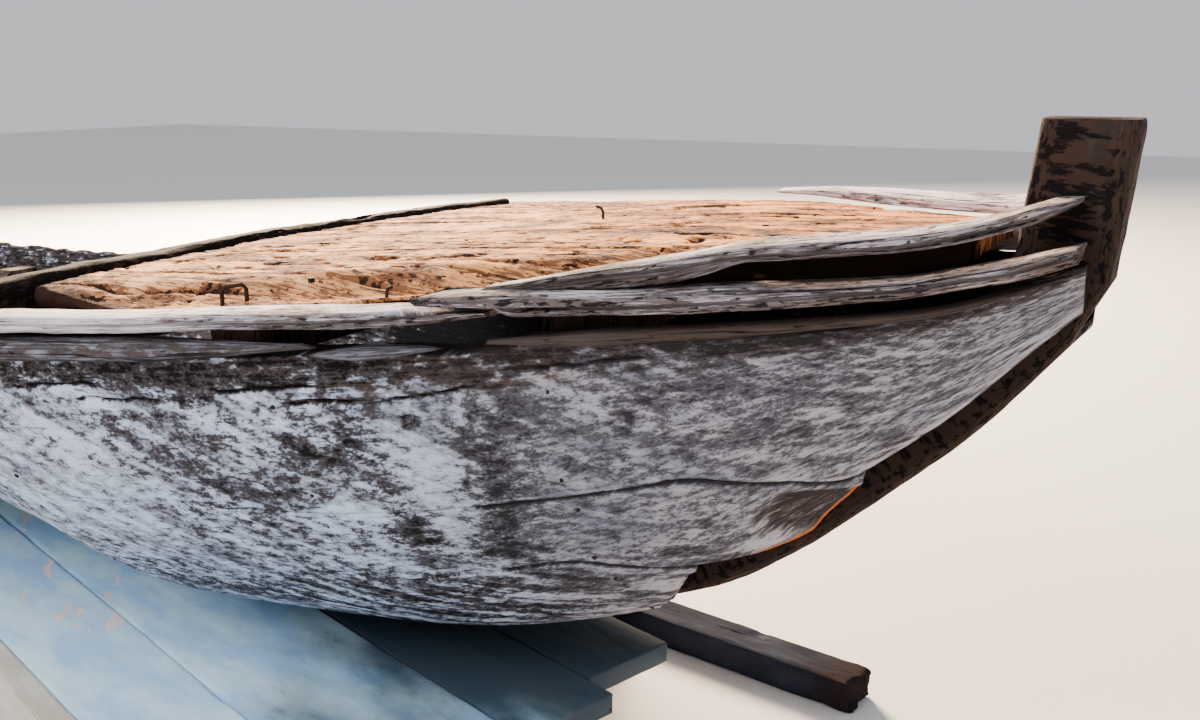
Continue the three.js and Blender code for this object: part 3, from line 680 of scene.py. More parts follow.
def strake(name, side, between, start, end, near, far, rows, seed, ends=None, torn_off=None,
           ragged_low=0.0, ragged_high=0.0, lit_edge=None):
    """One worn plank of the hull, between two seams."""
    low, high = (SEAM_LINES[line] for line in between)
    starboard = side < 0
    xs = stations(start, end, near, far, CLOSE_FROM if starboard else math.inf)
    s_line = run_length(xs, *hull(xs, (low(xs) + high(xs)) / 2, 0.0))
    girth_length = 0.75 * (curve("breadth", xs) + sheer_z(xs) - keel_z(xs))
    span = girth_length * (high(xs) - low(xs))
    girth_length = girth_length[:, None]
    outer = np.linspace(0, 1, rows)
    outer = 0.45 * outer + 0.55 * (0.5 - 0.5 * np.cos(math.pi * outer))
    inner = np.linspace(1, 0, max(rows // 3, 4))
    share = np.concatenate([outer, [1, 1], inner, [0, 0]])
    face = np.concatenate([0 * outer, [0.35, 0.7], 1 + 0 * inner, [0.7, 0.35]])
    q, f, x = np.broadcast_arrays(share, face, xs[:, None])
    if ends:
        x = ends(x, q)
    s = s_line[:, None] + 0 * q
    t = q * float(np.mean(span))
    bottom = SEAM_GAP + ragged_low * np.abs(noise(s / 0.07, 0.5, seed + 1, 4))
    top = SEAM_GAP + ragged_high * np.abs(noise(s / 0.09, 0.5, seed + 2, 4))
    if torn_off:
        top = top + torn_off(x, s)
    girth = low(x) * (1 - q) + high(x) * q + (bottom * (1 - q) - top * q) / girth_length
    from_edge = np.minimum(q, 1 - q) * span[:, None]
    opened = smoothstep(x, 2.45, 2.62) if starboard else 0.35
    radius = 0.0008 + opened * (0.006 + 0.003 * noise(s / 0.05, q * 3, seed + 3, 2))
    shallow = 0.0014 * noise(s / 0.16, t / 0.05, seed + 4, 2)
    shallow = shallow + 0.0010 * noise(s / 0.03, t / 0.009, seed + 5, 3)
    splits = 0.004 * cracks(s, t, seed + 6, 0.30, 0.045, 0.10)
    pits = 0.002 * smoothstep(noise(s / 0.02, t / 0.010, seed + 7, 3), 0.25, 0.6)
    outside = corner(from_edge, radius) + np.maximum(shallow + splits + pits, -0.001)
    # The inner face is painted darker, painted shade inside the hull, and darker still under the decks
    grime = 0.57 + (0.45 + 0.85 * smoothstep(np.abs(x), 1.66, 1.74)) * f
    torn = smoothstep(f, 0.05, 0.5)
    painted_glint, streaky = 0.0, 0.0
    if starboard:
        grime = grime + patches(x, girth) + seam_marks(x, q, from_edge, lit_edge) * (1 - f)
        streaky = smoothstep(0.56 - girth, 0.0, 0.12) * smoothstep(x, 2.0, 2.3)
        for at, up, size in KNOTS:
            away = np.hypot(x - at, (girth - up) * girth_length) / size
            outside = outside + 0.004 * np.exp(-(away * 1.4) ** 4) - 0.0015 * bell(away - 1.2, 0.3)
            grime = grime + 0.5 * np.exp(-away ** 4) + 0.5 * bell(away - 0.9, 0.25)
    if torn_off:
        outside = outside + 0.007 * split_at(x, girth, -0.0015, 0.0015)
        # Darker towards the wale and dark in the splits; the lip below each split and the lit upper edge are
        # painted paler, a painted highlight.
        grime = grime + 0.46 * smoothstep(girth, 0.875, 0.915) + 1.2 * split_at(x, girth, -0.0012, 0.0012)
        lit = 0.5 * bell(from_edge - 0.004, 0.003) * (q > 0.5) * (x < 2.6)
        grime = grime - 0.3 * split_at(x, girth, -0.009, -0.004) - lit
        torn = torn + brown_band(x, girth, s)
    if ends is scoop:
        # The hollow is painted dark: brown torn wood with painted shade. Its rim and lower lip carry the
        # painted glint.
        hollow, painted_glint = hollow_end(x, q)
        outside = outside + 0.016 * hollow
        grime = grime + 0.75 * hollow
        torn = torn + 0.9 * hollow
    uneven = 0.002 * np.abs(noise(s / 0.06, t / 0.02, seed + 8, 3))
    within = PLANK - 0.0015 - corner(from_edge, 0.004) - uneven
    y, z = hull(x, girth, outside * (1 - f) + within * f)
    wear = (grime, np.clip(torn, 0, 1), 0.95 * painted_glint - streaky * (1 - f) * (1 - painted_glint))
    own = 0 if starboard else seed
    along = np.sign(x) * np.interp(np.abs(x), FINE, SIDE_RUN)
    grain = (along + own * 0.37, np.interp(girth, GIRTHS, GIRTH_RUN) + own * 0.53, f * 0.045 + own)
    make_piece("worn_" + name, vectors(x, side * y, z), grain, wear, "hull", name)


def seam(name):
    return lambda x: curve(name, x)


def torn_top(x):
    return curve("high", x) + 0.4 * (WALE_LOW - curve("high", x))


def broken(length, seed, slope=0.10, reach=0.35):
    """A ragged fore end, longer above than below by slope."""
    def ends(x, q):
        ragged = length * (0.5 + 0.5 * noise(q * 7, 0.4, seed, 3)) + slope * (1 - q)
        return x - smoothstep(x, x.max() - reach, x.max()) * ragged
    return ends


SEAM_LINES = {name: seam(name) for name in SEAM_NAMES} | {"keel": level(0), "rim": level(1), "torn": torn_top}
STARBOARD = {"side": -1, "start": -END, "near": NEAR, "far": 0.045}
STARBOARD_STRAKES = [
    {"name": "starboard_garboard", "between": ("keel", "low"), "end": 2.66, "rows": 26, "seed": 11,
     "ends": broken(0.09, 13)},
    {"name": "starboard_bilge_strake", "between": ("low", "middle"), "end": 2.78, "rows": 60, "seed": 21,
     "ends": broken(0.05, 23), "ragged_low": 0.006, "lit_edge": 1},
    {"name": "starboard_side_strake", "between": ("middle", "high"), "end": 2.96, "rows": 44, "seed": 31,
     "ends": scoop, "ragged_low": 0.003},
    {"name": "starboard_top_strake", "between": ("high", "rim"), "end": END, "rows": 76, "seed": 41,
     "torn_off": split_edge, "lit_edge": 0},
]
PORT = {"side": 1, "start": -END, "end": END, "near": 0.02, "far": 0.02, "ragged_low": 0.001}
PORT_STRAKES = [
    {"name": "port_garboard", "between": ("keel", "low"), "rows": 10},
    {"name": "port_bilge_strake", "between": ("low", "middle"), "rows": 22},
    {"name": "port_side_strake", "between": ("middle", "high"), "rows": 18},
    {"name": "port_top_strake_fore", "between": ("high", "rim"), "rows": 26, "start": WAIST},
    {"name": "port_top_strake_waist", "between": ("high", "torn"), "rows": 26, "start": -WAIST, "end": WAIST,
     "ragged_high": 0.03},
    {"name": "port_top_strake_aft", "between": ("high", "rim"), "rows": 26, "end": -WAIST},
]
for row in STARBOARD_STRAKES:
    strake(**{**STARBOARD, **row})
for k, row in enumerate(PORT_STRAKES):
    strake(seed=111 + 10 * k, **{**PORT, **row})


# Bars and rails: a ring round each station, its corners eased, worn and split along the grain
def ring_angles(count):
    return np.linspace(0, 2 * math.pi, count, endpoint=False)


def squared(angle, sharp):
    """A rounded square of half size 1: sharp 1 is a circle, smaller is squarer."""
    c, s = np.cos(angle), np.sin(angle)
    return np.sign(c) * np.abs(c) ** sharp, np.sign(s) * np.abs(s) ** sharp


def worn_size(s, around, seed, wear, split):
    """How much of its half size a bar keeps: worn hollows and splits with the grain."""
    t = around / (2 * math.pi) * 0.2
    hollow = wear * noise(s / 0.14, around * 0.9, seed, 3)
    hollow = hollow + 0.4 * wear * noise(s / 0.03, around * 4, seed + 1, 3)
    return 1 - wear + hollow - split * cracks(s, t, seed + 2, 0.35, 0.024, 0.16)


RIM_STATIONS = HALF_LENGTH * np.sin(np.linspace(-1, 1, 29) * math.pi / 2)
RIM_STEP = 0.015


def rim_line(x):
    """The rim's half breadth and height, and how much longer a slanted cut across a rail is."""
    y = np.interp(x, RIM_STATIONS, curve("breadth", RIM_STATIONS))
    z = np.interp(x, RIM_STATIONS, sheer_z(RIM_STATIONS))
    slope = (curve("breadth", x + RIM_STEP) - curve("breadth", x - RIM_STEP)) / (2 * RIM_STEP)
    return y, z, np.hypot(1, slope)


def deck_top(x, y):
    climb = DECK_CLIMB * np.clip((np.abs(x) - 2.2) / 0.5, 0, 1)
    crown = DECK_CROWN * (1 - np.minimum(1, (y / curve("breadth", x)) ** 2))
    return sheer_z(x) + LOG_HEIGHT / 2 + climb + crown


# How flat the logs are worn on top, and how far the worn aft end of the starboard covering board hangs down
log_crest = through((2.40, 0.60), (2.54, 0.70), (2.62, 1.0), (2.84, 1.0), (2.95, 0.55))
cover_sag = through((2.59, 0.030), (2.64, 0.027), (2.72, 0.018), (2.80, 0.009), (2.87, 0.0))


def log_rise(x):
    """The aft log has sunk a little below the sheer."""
    return -0.005 * (1 - smoothstep(x, 2.50, 2.62)) - 0.004 * (1 - smoothstep(x, 2.10, 2.35))


def cover_rise(x):
    """The covering boards lie on the deck's edge."""
    y, z, stretch = rim_line(x)
    inner = np.maximum(y - (COVER_IN + COVER_WIDTH / 2) * stretch, 0)
    return deck_top(x, inner) - z + COVER_RISE + COVER_HEIGHT / 2


def cover_rise_worn(x):
    return cover_rise(x) - cover_sag(x)


def cover_depth(x):
    return 1 + 1.5 * (1 - smoothstep(x, 2.78, 2.88))


# Where the starboard log is broken
BREAK = 2.54
BREAK_GAP = 0.004
LOG = {"out": level(0.002), "rise": level(0), "width": LOG_WIDTH, "height": LOG_HEIGHT}
PORT_LOG = {**LOG, "side": 1, "near": 0.012, "ragged": 0.04, "points": 32}
WORN_LOG = {**LOG, "side": -1, "over": log_crest, "wander": 0.004}
COVER = {"start": 2.59, "end": END, "out": level(-COVER_IN), "rise": cover_rise, "width": COVER_WIDTH,
         "height": COVER_HEIGHT, "thin": 0.35, "start_taper": 0.24, "sharp": 0.4, "ragged": 0.03}
RAILS = [
    {**WORN_LOG, "name": "starboard_gunwale_aft", "start": -END, "end": BREAK, "rise": log_rise, "seed": 201,
     "thin": 0.85, "end_taper": 0.10, "sunlit": 1, "split": 0.3, "wear": 0.14, "reach": 0.085,
     "grime": -0.15, "grime_fore": 0.7},
    {**WORN_LOG, "name": "starboard_gunwale_fore", "start": BREAK + BREAK_GAP, "end": END, "seed": 211,
     "thin": 0.9, "start_taper": 0.05, "split": 0.32, "wear": 0.13, "grime": 0.7, "notch": 0.018},
    {**PORT_LOG, "name": "port_gunwale_fore", "start": WAIST, "end": END, "seed": 221},
    {**PORT_LOG, "name": "port_gunwale_aft", "start": -END, "end": -WAIST, "seed": 231},
    {**COVER, "name": "starboard_bow_cover", "side": -1, "rise": cover_rise_worn, "seed": 241, "sunlit": 1,
     "under": cover_depth, "grime": 0.75, "split": 0.2, "wear": 0.09},
    {**COVER, "name": "port_bow_cover", "side": 1, "seed": 251, "near": 0.008, "points": 36},
]


def rail(name, side, start, end, seed, out, rise, width, height, near=NEAR, points=48, sharp=0.62,
         start_taper=0.03, end_taper=0.03, thin=0.75, wear=0.08, split=0.22, ragged=0.01, notch=0.0,
         reach=0.0, wander=0.002, grime=0.0, grime_fore=0.0, sunlit=0, over=level(1), under=level(1)):
    """A worn rail along the rim. out, rise, over and under are functions of x."""
    a, x = np.meshgrid(ring_angles(points), stations(start, end, near))
    across, lift = squared(a, sharp)
    taper = np.minimum((x - start) / start_taper, (end - x) / end_taper)
    keep = np.clip(thin + (1 - thin) * taper, 0, 1)
    size = worn_size(x, a, seed, wear, split) * keep
    below = smoothstep(-lift, 0.0, 0.5)
    cut = notch * below * (1 - smoothstep(x, start + 0.07, start + 0.10))
    x = x + reach * below * smoothstep(x, end - 0.12, end)
    near_start = 1 - smoothstep(x, start, start + 6 * ragged + 0.01)
    near_end = smoothstep(x, end - 6 * ragged - 0.01, end)
    x = x + (near_start - near_end) * ragged * (0.5 + 0.5 * noise(a * 1.6, 0.5, seed + 7, 3))
    y, z, stretch = rim_line(x)
    y = y + (out(x) + across * size * width / 2) * stretch
    tall = np.where(lift > 0, over(x), under(x)) * height / 2
    z = z + (rise(x) + lift * size * tall + cut + wander * noise(x / 0.25, 0.1, seed + 9))
    # A rail's top is painted lighter, a painted highlight; a sunlit one also gets a paler top through the third
    # wear channel.
    top = smoothstep(lift, 0.2, 0.9)
    dark = grime - 0.25 * top + 0.6 * noise(x / 0.10, a * 0.9, seed + 11, 3)
    dark = dark + grime_fore * smoothstep(x, 2.10, 2.45)
    girth = 2 * (width + height)
    grain = (x * 1.02 + seed * 0.31, a / (2 * math.pi) * girth + seed * 0.71, seed)
    make_piece("worn_" + name, vectors(x, side * y, z), grain, (dark, 0, 0.15 * top * sunlit), "rim", name)


for row in RAILS:
    rail(**row)

GREY_WALE = {"side": -1, "finish": "grey", "grime": 0.2}
PORT_WALE = {"side": 1, "finish": "rim", "near": 0.012}
WALES = [
    {**GREY_WALE, "name": "starboard_wale", "start": -END, "end": 2.44, "seed": 301, "thin": 0.25,
     "end_taper": 0.22, "high": 0.989},
    {**GREY_WALE, "name": "wale_splinter", "start": 2.42, "end": 2.57, "seed": 341, "thin": 0.08,
     "start_taper": 0.07, "end_taper": 0.09, "loose": True, "ragged": 0.012, "blunt": 0.6, "low": 0.943,
     "high": 0.965},
    {"name": "starboard_bow_wale", "side": -1, "start": 2.60, "end": END, "seed": 311, "finish": "brown",
     "thin": 0.30, "start_taper": 0.12, "grime": 0.0},
    {**PORT_WALE, "name": "port_wale_fore", "start": WAIST, "end": END, "seed": 321},
    {**PORT_WALE, "name": "port_wale_aft", "start": -END, "end": -WAIST, "seed": 331},
]
WALE_GAP = 0.0004
WALE_DEEP = 0.0145


def wale(name, side, start, end, seed, finish, near=NEAR, start_taper=0.05, end_taper=0.05, thin=0.8, blunt=1,
         ragged=0.03, low=WALE_LOW, high=WALE_HIGH, grime=0.1, loose=False):
    """A worn wale on the planking, between the girths low and high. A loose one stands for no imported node."""
    a, x = np.meshgrid(ring_angles(36), stations(start, end, near))
    along, out = squared(a, 0.5)
    taper = np.minimum((x - start) / start_taper, (end - x) / end_taper)
    taper = np.clip(taper, 0, 1) ** blunt
    keep = (thin + (1 - thin) * taper) * worn_size(x, a, seed, 0.10, 0.3)
    near_end = smoothstep(x, end - 5 * ragged, end) - 1 + smoothstep(x, start, start + 5 * ragged)
    x = x - near_end * ragged * (0.5 + 0.5 * noise(a * 1.5, 0.2, seed + 3, 3))
    girth = (low + high) / 2 + along * keep * (high - low) / 2
    y, z = hull(x, girth, -(WALE_GAP + WALE_DEEP * (1 + out * keep)))
    grain = (x + seed * 0.37, a * 0.018 + seed * 0.61, seed)
    dark = grime + 0.4 * noise(x / 0.15, a * 0.5, seed + 5, 3)
    make_piece("worn_" + name, vectors(x, side * y, z), grain, (dark, 0, 0), finish, None if loose else name)


for row in WALES:
    wale(**row)

# Decks: rough planks with pits and splits, their ends ragged, between the gunwales
BEAM_AT = 1.89
BEAM_HALF = 0.032
BEAM_DEPTH = 0.095
BEAM_RISE = 0.012
DECK_START = BEAM_AT + BEAM_HALF + 0.0004
DECK_STOP = 3.075
DECK_THICK = 0.03
DECKS = [
    {"name": "foredeck_plank", "end": 1, "step": NEAR, "columns": 42, "seed": 401,
     "seams": [-0.640, -0.450, -0.270, -0.090, 0.090, 0.270, 0.450, 0.640]},
    {"name": "afterdeck_plank", "end": -1, "step": 0.015, "columns": 22, "seed": 501,
     "seams": [-0.640, -0.380, -0.125, 0.125, 0.380, 0.640]},
]
# The foredeck's starboard corner is rotted away, and its edge beside the gunwale trodden down
ROT_WIDE = 0.062
ROT_STOP = 2.13
ROT_LONG = 0.208
worn_edge = through((1.92, 0.002), (2.00, 0.010), (2.13, 0.021), (2.40, 0.025), (2.60, 0.023), (2.72, 0.018),
                    (2.80, 0.009), (2.87, 0.0))


def deck_plank(deck, k):
    """A deck's plank between seams k and k + 1. The foredeck's starboard edge is trodden and rotted."""
    left, right = deck["seams"][k:k + 2]
    seed, fore, columns = deck["seed"] + 10 * k, deck["end"] > 0, deck["columns"]
    rots = fore and k == 0
    xs = np.linspace(DECK_START, DECK_STOP, int((DECK_STOP - DECK_START) / deck["step"]) + 1)
    breadth_at, _, stretch = rim_line(xs)
    free = breadth_at - (LOG_WIDTH / 2 + 0.002) * stretch
    a = np.maximum(left, rots * ROT_WIDE * np.clip((ROT_STOP - xs) / ROT_LONG, 0, 1) - free)
    b = np.minimum(right, free)
    wide = b - a > 0.016
    xs, a, b = xs[wide], a[wide], b[wide]
    over = np.linspace(0, 1, columns)
    under = over[::-3]
    share = np.concatenate([over, [1], under, [0]])
    face = np.concatenate([0 * over, [0.5], 1 + 0 * under, [0.5]])
    q, f, s = np.broadcast_arrays(share, face, xs[:, None])
    inwards = 0.0015 + 0.002 * np.abs(noise(s / 0.06, 0.2, seed, 3))
    y = (a[:, None] + inwards) * (1 - q) + (b[:, None] - inwards) * q
    from_side = np.minimum(q, 1 - q) * (b - a)[:, None]
    from_start, from_stop = s - DECK_START, xs[-1] - s
    sunk = corner(from_side, 0.004 + 0.002 * noise(s / 0.04, 0.7, seed + 1, 2))
    sunk = sunk + corner(np.minimum(from_start, from_stop), 0.006)
    rough = 0.0016 * noise(s / 0.05, y / 0.012, seed + 2, 3)
    rough = rough + 0.0010 * noise(s / 0.016, y / 0.005, seed + 3, 2)
    pits = 0.006 * smoothstep(noise(s / 0.045, y / 0.014, seed + 4, 3), 0.38, 0.62)
    splits = 0.009 * cracks(s, y, seed + 5, 0.16, 0.022, 0.13)
    cupped = 0.002 * noise(s / 0.3, q * 1.5, seed + 6)
    beside = free[wide][:, None] + y
    trodden = fore * worn_edge(s) * (1 - smoothstep(beside, 0.02, 0.10))
    z_top = deck_top(s, y) - np.maximum(sunk + pits + splits + rough + cupped + 0.001, 0) - trodden
    z_under = deck_top(s, y) - DECK_THICK + 0.0006
    z = z_top * (1 - f) + z_under * f
    fray = 0.018 * (0.5 + 0.5 * noise(y / 0.012, 0.3, seed + 7, 3))
    x = s + fray * (1 - smoothstep(s, DECK_START, DECK_START + 0.08))
    x = x - fray * smoothstep(s, xs[-1] - 0.08, xs[-1])
    under_cover = fore * (1 - smoothstep(beside, 0.016, 0.030)) * smoothstep(x, 2.48, 2.56)
    y = y + 0.014 * under_cover * (1 - smoothstep(beside, 0.004, 0.010)) * (y < 0)
    grime = 1.1 * smoothstep(pits + splits, 0.002, 0.006) + 0.45 * noise(s / 0.25, y / 0.12, seed + 8, 3)
    # Painted shade: the plank's sides and underside, its edge under the covering board, its aft edge beside the
    # beam and its rotted starboard corner are painted dark.
    rotted = rots * bell(from_side, 0.016) * (q < 0.5) * (1 - smoothstep(x, 2.10, 2.20))
    grime = grime + 0.6 * smoothstep(f, 0.1, 0.9) + 2.0 * under_cover
    grime = grime + fore * bell(from_start, 0.014) + rotted
    torn = 0.8 * smoothstep(pits + splits, 0.001, 0.005) * (1 - f)
    node = f"{deck['name']}_{k + 1}"
    grain = (s + seed * 0.37, y + seed * 0.11, f * 0.03 + seed)
    wear = (grime, torn, -0.9 * rotted)
    make_piece("worn_" + node, vectors(deck["end"] * x, y, z), grain, wear, "deck", node)


for deck in DECKS:
    for k in range(len(deck["seams"]) - 1):
        deck_plank(deck, k)

# Straight timbers with worn edges, between two points on their middle line
SKEW = math.radians(-18)
GROOVE = (2.010, -0.422)
SQUARED_AT = np.array([2.56, 0.261, 0.028])
SQUARED_TURN = math.radians(-10)
SQUARED_REACH = 0.33 * np.array([math.cos(SQUARED_TURN), math.sin(SQUARED_TURN), 0])


def askew(x, y, z):
    """A point of the supports, which lie askew under the bow."""
    c, s = math.cos(SKEW), math.sin(SKEW)
    return GROOVE[0] + x * c - y * s, GROOVE[1] + x * s + y * c, z


BOARD = {"high": 0.0344, "finish": "painted", "columns": 30, "ease": 0.004, "rough": 0.0006,
         "split": 0.002, "bare": 0.0}
SLEEPER = {"axis": 1, "finish": "brown", "ease": 0.012, "rough": 0.002}
BOTTOM = {"finish": "inside", "split": 0.003}
BOARD_MIDDLE = 0.1173
BOARD_GAP = 0.0025
CREAM_ACROSS = -0.1984
CREAM_MIDDLE = 0.0673


def support_board(number, left, right, aft, fore, bare=0.0, dim=1.2, dim_from=0.90):
    """A painted board's row: its pale patches are painted sunlight, and from dim_from on, under the bow, it is
    painted dark, the painted shadow of the hull.
    """
    middle = (left + right) / 2
    return {**BOARD, "name": f"support_board_{number}", "seed": 591 + 10 * number, "bare": bare, "dim": dim,
            "dim_from": dim_from, "wide": right - left - BOARD_GAP, "start": askew(aft, middle, BOARD_MIDDLE),
            "stop": askew(fore, middle, BOARD_MIDDLE)}


BARS = [
    support_board(1, left=-0.178, right=0.000, aft=-1.370, fore=0.628, bare=0.30, dim=0.7, dim_from=1.60),
    support_board(2, left=0.000, right=0.256, aft=-1.350, fore=0.558, dim_from=1.12),
    support_board(3, left=0.256, right=0.430, aft=-1.395, fore=0.488),
    support_board(4, left=0.430, right=0.604, aft=-1.335, fore=0.431),
    {**BOARD, "name": "cream_edge_timber", "start": askew(-1.35, CREAM_ACROSS, CREAM_MIDDLE),
     "stop": askew(0.54, CREAM_ACROSS, CREAM_MIDDLE), "wide": 0.0415, "high": 0.1344, "seed": 651,
     "columns": 20, "finish": "cream"},
    {"name": "squared_timber", "start": SQUARED_AT - SQUARED_REACH, "stop": SQUARED_AT + SQUARED_REACH,
     "wide": 0.0795, "high": 0.0556, "seed": 661, "finish": "timber", "rotted": 0.03, "end_dark": 0.6,
     "ease": 0.008, "rough": 0.0016, "step": 0.006, "columns": 26},
    {**BOTTOM, "name": "bottom_board_1", "seed": 671},
    {**BOTTOM, "name": "bottom_board_2", "seed": 681},
    {**BOTTOM, "name": "bottom_board_3", "seed": 691, "rotted": 0.04},
    {**SLEEPER, "name": "stern_sleeper_1", "seed": 701},
    {**SLEEPER, "name": "stern_sleeper_2", "seed": 711},
]


def from_box(node, axis):
    """The ends of a straight timber's middle line, its width and height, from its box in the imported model."""
    low, high = (np.array(point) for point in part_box(node))
    middle, size = (low + high) / 2, high - low
    start, stop = middle.copy(), middle.copy()
    start[axis], stop[axis] = low[axis], high[axis]
    return start, stop, size[1 - axis], size[2]


def bar(name, seed, finish, start=None, stop=None, wide=None, high=None, axis=0, step=0.012, columns=20,
        ease=0.006, rough=0.0012, split=0.004, rotted=0.0, end_dark=0.0, dim=0.0, dim_from=0.0, bare=None):
    """A worn timber of box section, from start to stop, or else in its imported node's box along an axis."""
    if start is None:
        start, stop, wide, high = from_box(name, axis)
    start, stop = np.array(start, float), np.array(stop, float)
    length = float(np.linalg.norm(stop - start))
    heading = (stop - start) / length
    sideways = np.array([-heading[1], heading[0], 0.0])
    up = np.array([0.0, 0.0, 1.0])
    half_wide, half_high = wide / 2, high / 2
    ends = np.array([0, 0.0015, 0.004])
    s_line = np.linspace(0.008, length - 0.008, max(int(length / step), 12))
    s_line = np.concatenate([ends, s_line, length - ends[::-1]])
    edge = np.array([-1, -1 + 0.4 * ease / half_wide, -1 + ease / half_wide])
    across = np.concatenate([edge, np.linspace(edge[-1], -edge[-1], columns)[1:-1], -edge[::-1]])
    tall = np.linspace(-1, 1, max(int(columns * half_high / half_wide), 5))[1:-1]
    ring = [(v, -1) for v in across] + [(1, v) for v in tall] + [(v, 1) for v in across[::-1]]
    ring = np.array(ring + [(-1, v) for v in tall[::-1]], float)
    y, z, s = np.broadcast_arrays(ring[:, 0] * half_wide, ring[:, 1] * half_high, s_line[:, None])
    to_side, to_top = half_wide - np.abs(y), half_high - np.abs(z)
    round_by = ease * (1 + 0.5 * noise(s / 0.06, y * 30 + z * 50, seed, 2))
    end_corner = corner(np.minimum(s, length - s), round_by)
    bumps = rough * (1 + noise(s / 0.06, (y + z) / 0.015, seed + 1, 3))
    bumps = bumps + split * cracks(s, y + z, seed + 2, 0.3, 0.03, 0.12)
    draw_down = corner(to_side, round_by) + end_corner + np.where(z > 0, bumps, 0.0002)
    draw_in = corner(to_top, round_by) + end_corner + bumps
    y = np.sign(y) * np.maximum(np.abs(y) - np.where(to_side < 1e-6, draw_in, 0), 0)
    z = np.sign(z) * np.maximum(np.abs(z) - np.where(to_top < 1e-6, draw_down, 0), 0)
    shorter = rotted * (0.6 + 0.4 * noise(y / 0.02, z / 0.02, seed + 3, 3)) + 0.001
    s_at = s - shorter * smoothstep(s, length - 0.1, length)
    points = start + s_at[..., None] * heading + y[..., None] * sideways + z[..., None] * up
    ends_dark = end_dark * smoothstep(s, length - 0.16, length - 0.01)
    # Painted shadow of the hull on the boards, deepest near the keel
    under_keel = 0.5 + 0.5 * smoothstep(points[..., 1], -0.34, -0.17)
    shaded = dim * under_keel * smoothstep(s, dim_from, dim_from + 0.55)
    grime = 0.3 * noise(s / 0.2, y / 0.08, seed + 5, 3) + ends_dark + shaded
    # Painted patches of sunlight on the aft part of the blue boards
    kept_and_unlit = smoothstep(s, 1.10, 1.30)
    rubbed_and_sunlit = 0 if bare is None else bare * (1 - kept_and_unlit) - 0.6 * kept_and_unlit
    make_piece("worn_" + name, points, (s + seed * 0.3, y + z + seed * 0.5, z + seed),
               (grime, np.clip(ends_dark, 0, 1), rubbed_and_sunlit), finish, name)


for row in BARS:
    bar(**row)


def main_beam(name, at, seed):
    """A cambered main beam at a deck's inner edge."""
    angle, share = np.meshgrid(ring_angles(44), np.linspace(-1, 1, 190))
    along, tall = squared(angle, 0.35)
    keep = worn_size(share * 0.6, angle, seed, 0.05, 0.16)
    x = at + along * BEAM_HALF * keep
    top = deck_top(x, share * 0.60) + BEAM_RISE - 0.002 * np.abs(noise(share * 9, 0.4, seed + 1, 3))
    low = sheer_z(at) - BEAM_DEPTH
    z = (top + low) / 2 + tall * keep * (top - low) / 2
    y = share * (0.575 + 0.047 * np.clip((z - low) / 0.12, 0, 1))
    # The beams are painted dark as painted shade
    grime = 1.5 + 0.5 * noise(share * 5, angle, seed + 2, 3)
    make_piece("worn_" + name, vectors(x, y, z), (y + seed * 0.4, angle * 0.03 + seed * 0.2, seed),
               (grime, 0, 0), "brown", name)


main_beam("fore_main_beam", BEAM_AT, 801)
main_beam("aft_main_beam", -BEAM_AT, 811)

# Stem and stern post: a curved timber along the keel's line, up past its neck and shoulder to its head
POST_START = 2.25
NECK = 3.17
SHOULDER_AT = 3.212
POST_TIP = 3.23
SHOULDER_Z = SUPPORT + 0.640
POST_HALF = 0.0448


def post(name, end, head, seed):
    line = np.concatenate([np.linspace(POST_START, NECK, 170),
                           np.linspace(NECK + 0.0024, SHOULDER_AT, 24)[1:],
                           np.linspace(SHOULDER_AT, POST_TIP, 40)[1:]])
    above = np.interp(line, [NECK, SHOULDER_AT, POST_TIP], [float(keel_z(NECK)), SHOULDER_Z, head])
    height = np.where(line <= NECK, keel_z(line), above)
    dx, dz = np.gradient(line), np.gradient(height)
    length = np.hypot(dx, dz)
    s = np.cumsum(length)[:, None]
    deep = 0.045 + 0.075 * smoothstep(line, POST_START, 2.42)
    back_x, back_z = line - deep * dz / length, np.minimum(height + deep * dx / length, head)
    a = ring_angles(44)
    across, inwards = squared(a, 0.3)
    from_end = np.minimum(np.arange(len(line)), np.arange(len(line))[::-1])[:, None]
    keep = worn_size(s, a, seed, 0.04, 0.12) * (1 - 0.06 * np.exp(-from_end / 1.2))
    x = ((line + back_x) / 2)[:, None] + inwards * keep * (line - back_x)[:, None] / 2
    z = ((height + back_z) / 2)[:, None] + inwards * keep * (height - back_z)[:, None] / 2
    # The posts are painted dark as painted shade
    grime = 0.9 + 0.4 * noise(s * 6, a, seed + 2, 3)
    make_piece("worn_" + name, vectors(end * x, POST_HALF * across * keep, z),
               (s, 0.03 * a + seed * 0.3, seed), (grime, 0, 0), "brown", name)


post("stem_post", 1, SUPPORT + 0.835, 851)
post("stern_post", -1, SUPPORT + 0.770, 861)


# Ironwork: a staple and bent nails in the foredeck, and rows of nail heads
def wire(name, points, radius):
    """A round wire through points, with flat ends."""
    points = np.array(points, float)
    ahead = np.gradient(points, axis=0)
    ahead /= np.linalg.norm(ahead, axis=1)[:, None]
    sideways = np.cross(ahead, [0.31, 0.95, 0.05])
    sideways /= np.linalg.norm(sideways, axis=1)[:, None]
    upwards = np.cross(ahead, sideways)
    around = ring_angles(WIRE_SIDES)[None, :, None]
    spokes = np.cos(around) * sideways[:, None] + np.sin(around) * upwards[:, None]
    rings = points[:, None] + radius * spokes
    make_piece(name, rings, (0, 0, 0), (0, 0, 0), "iron")


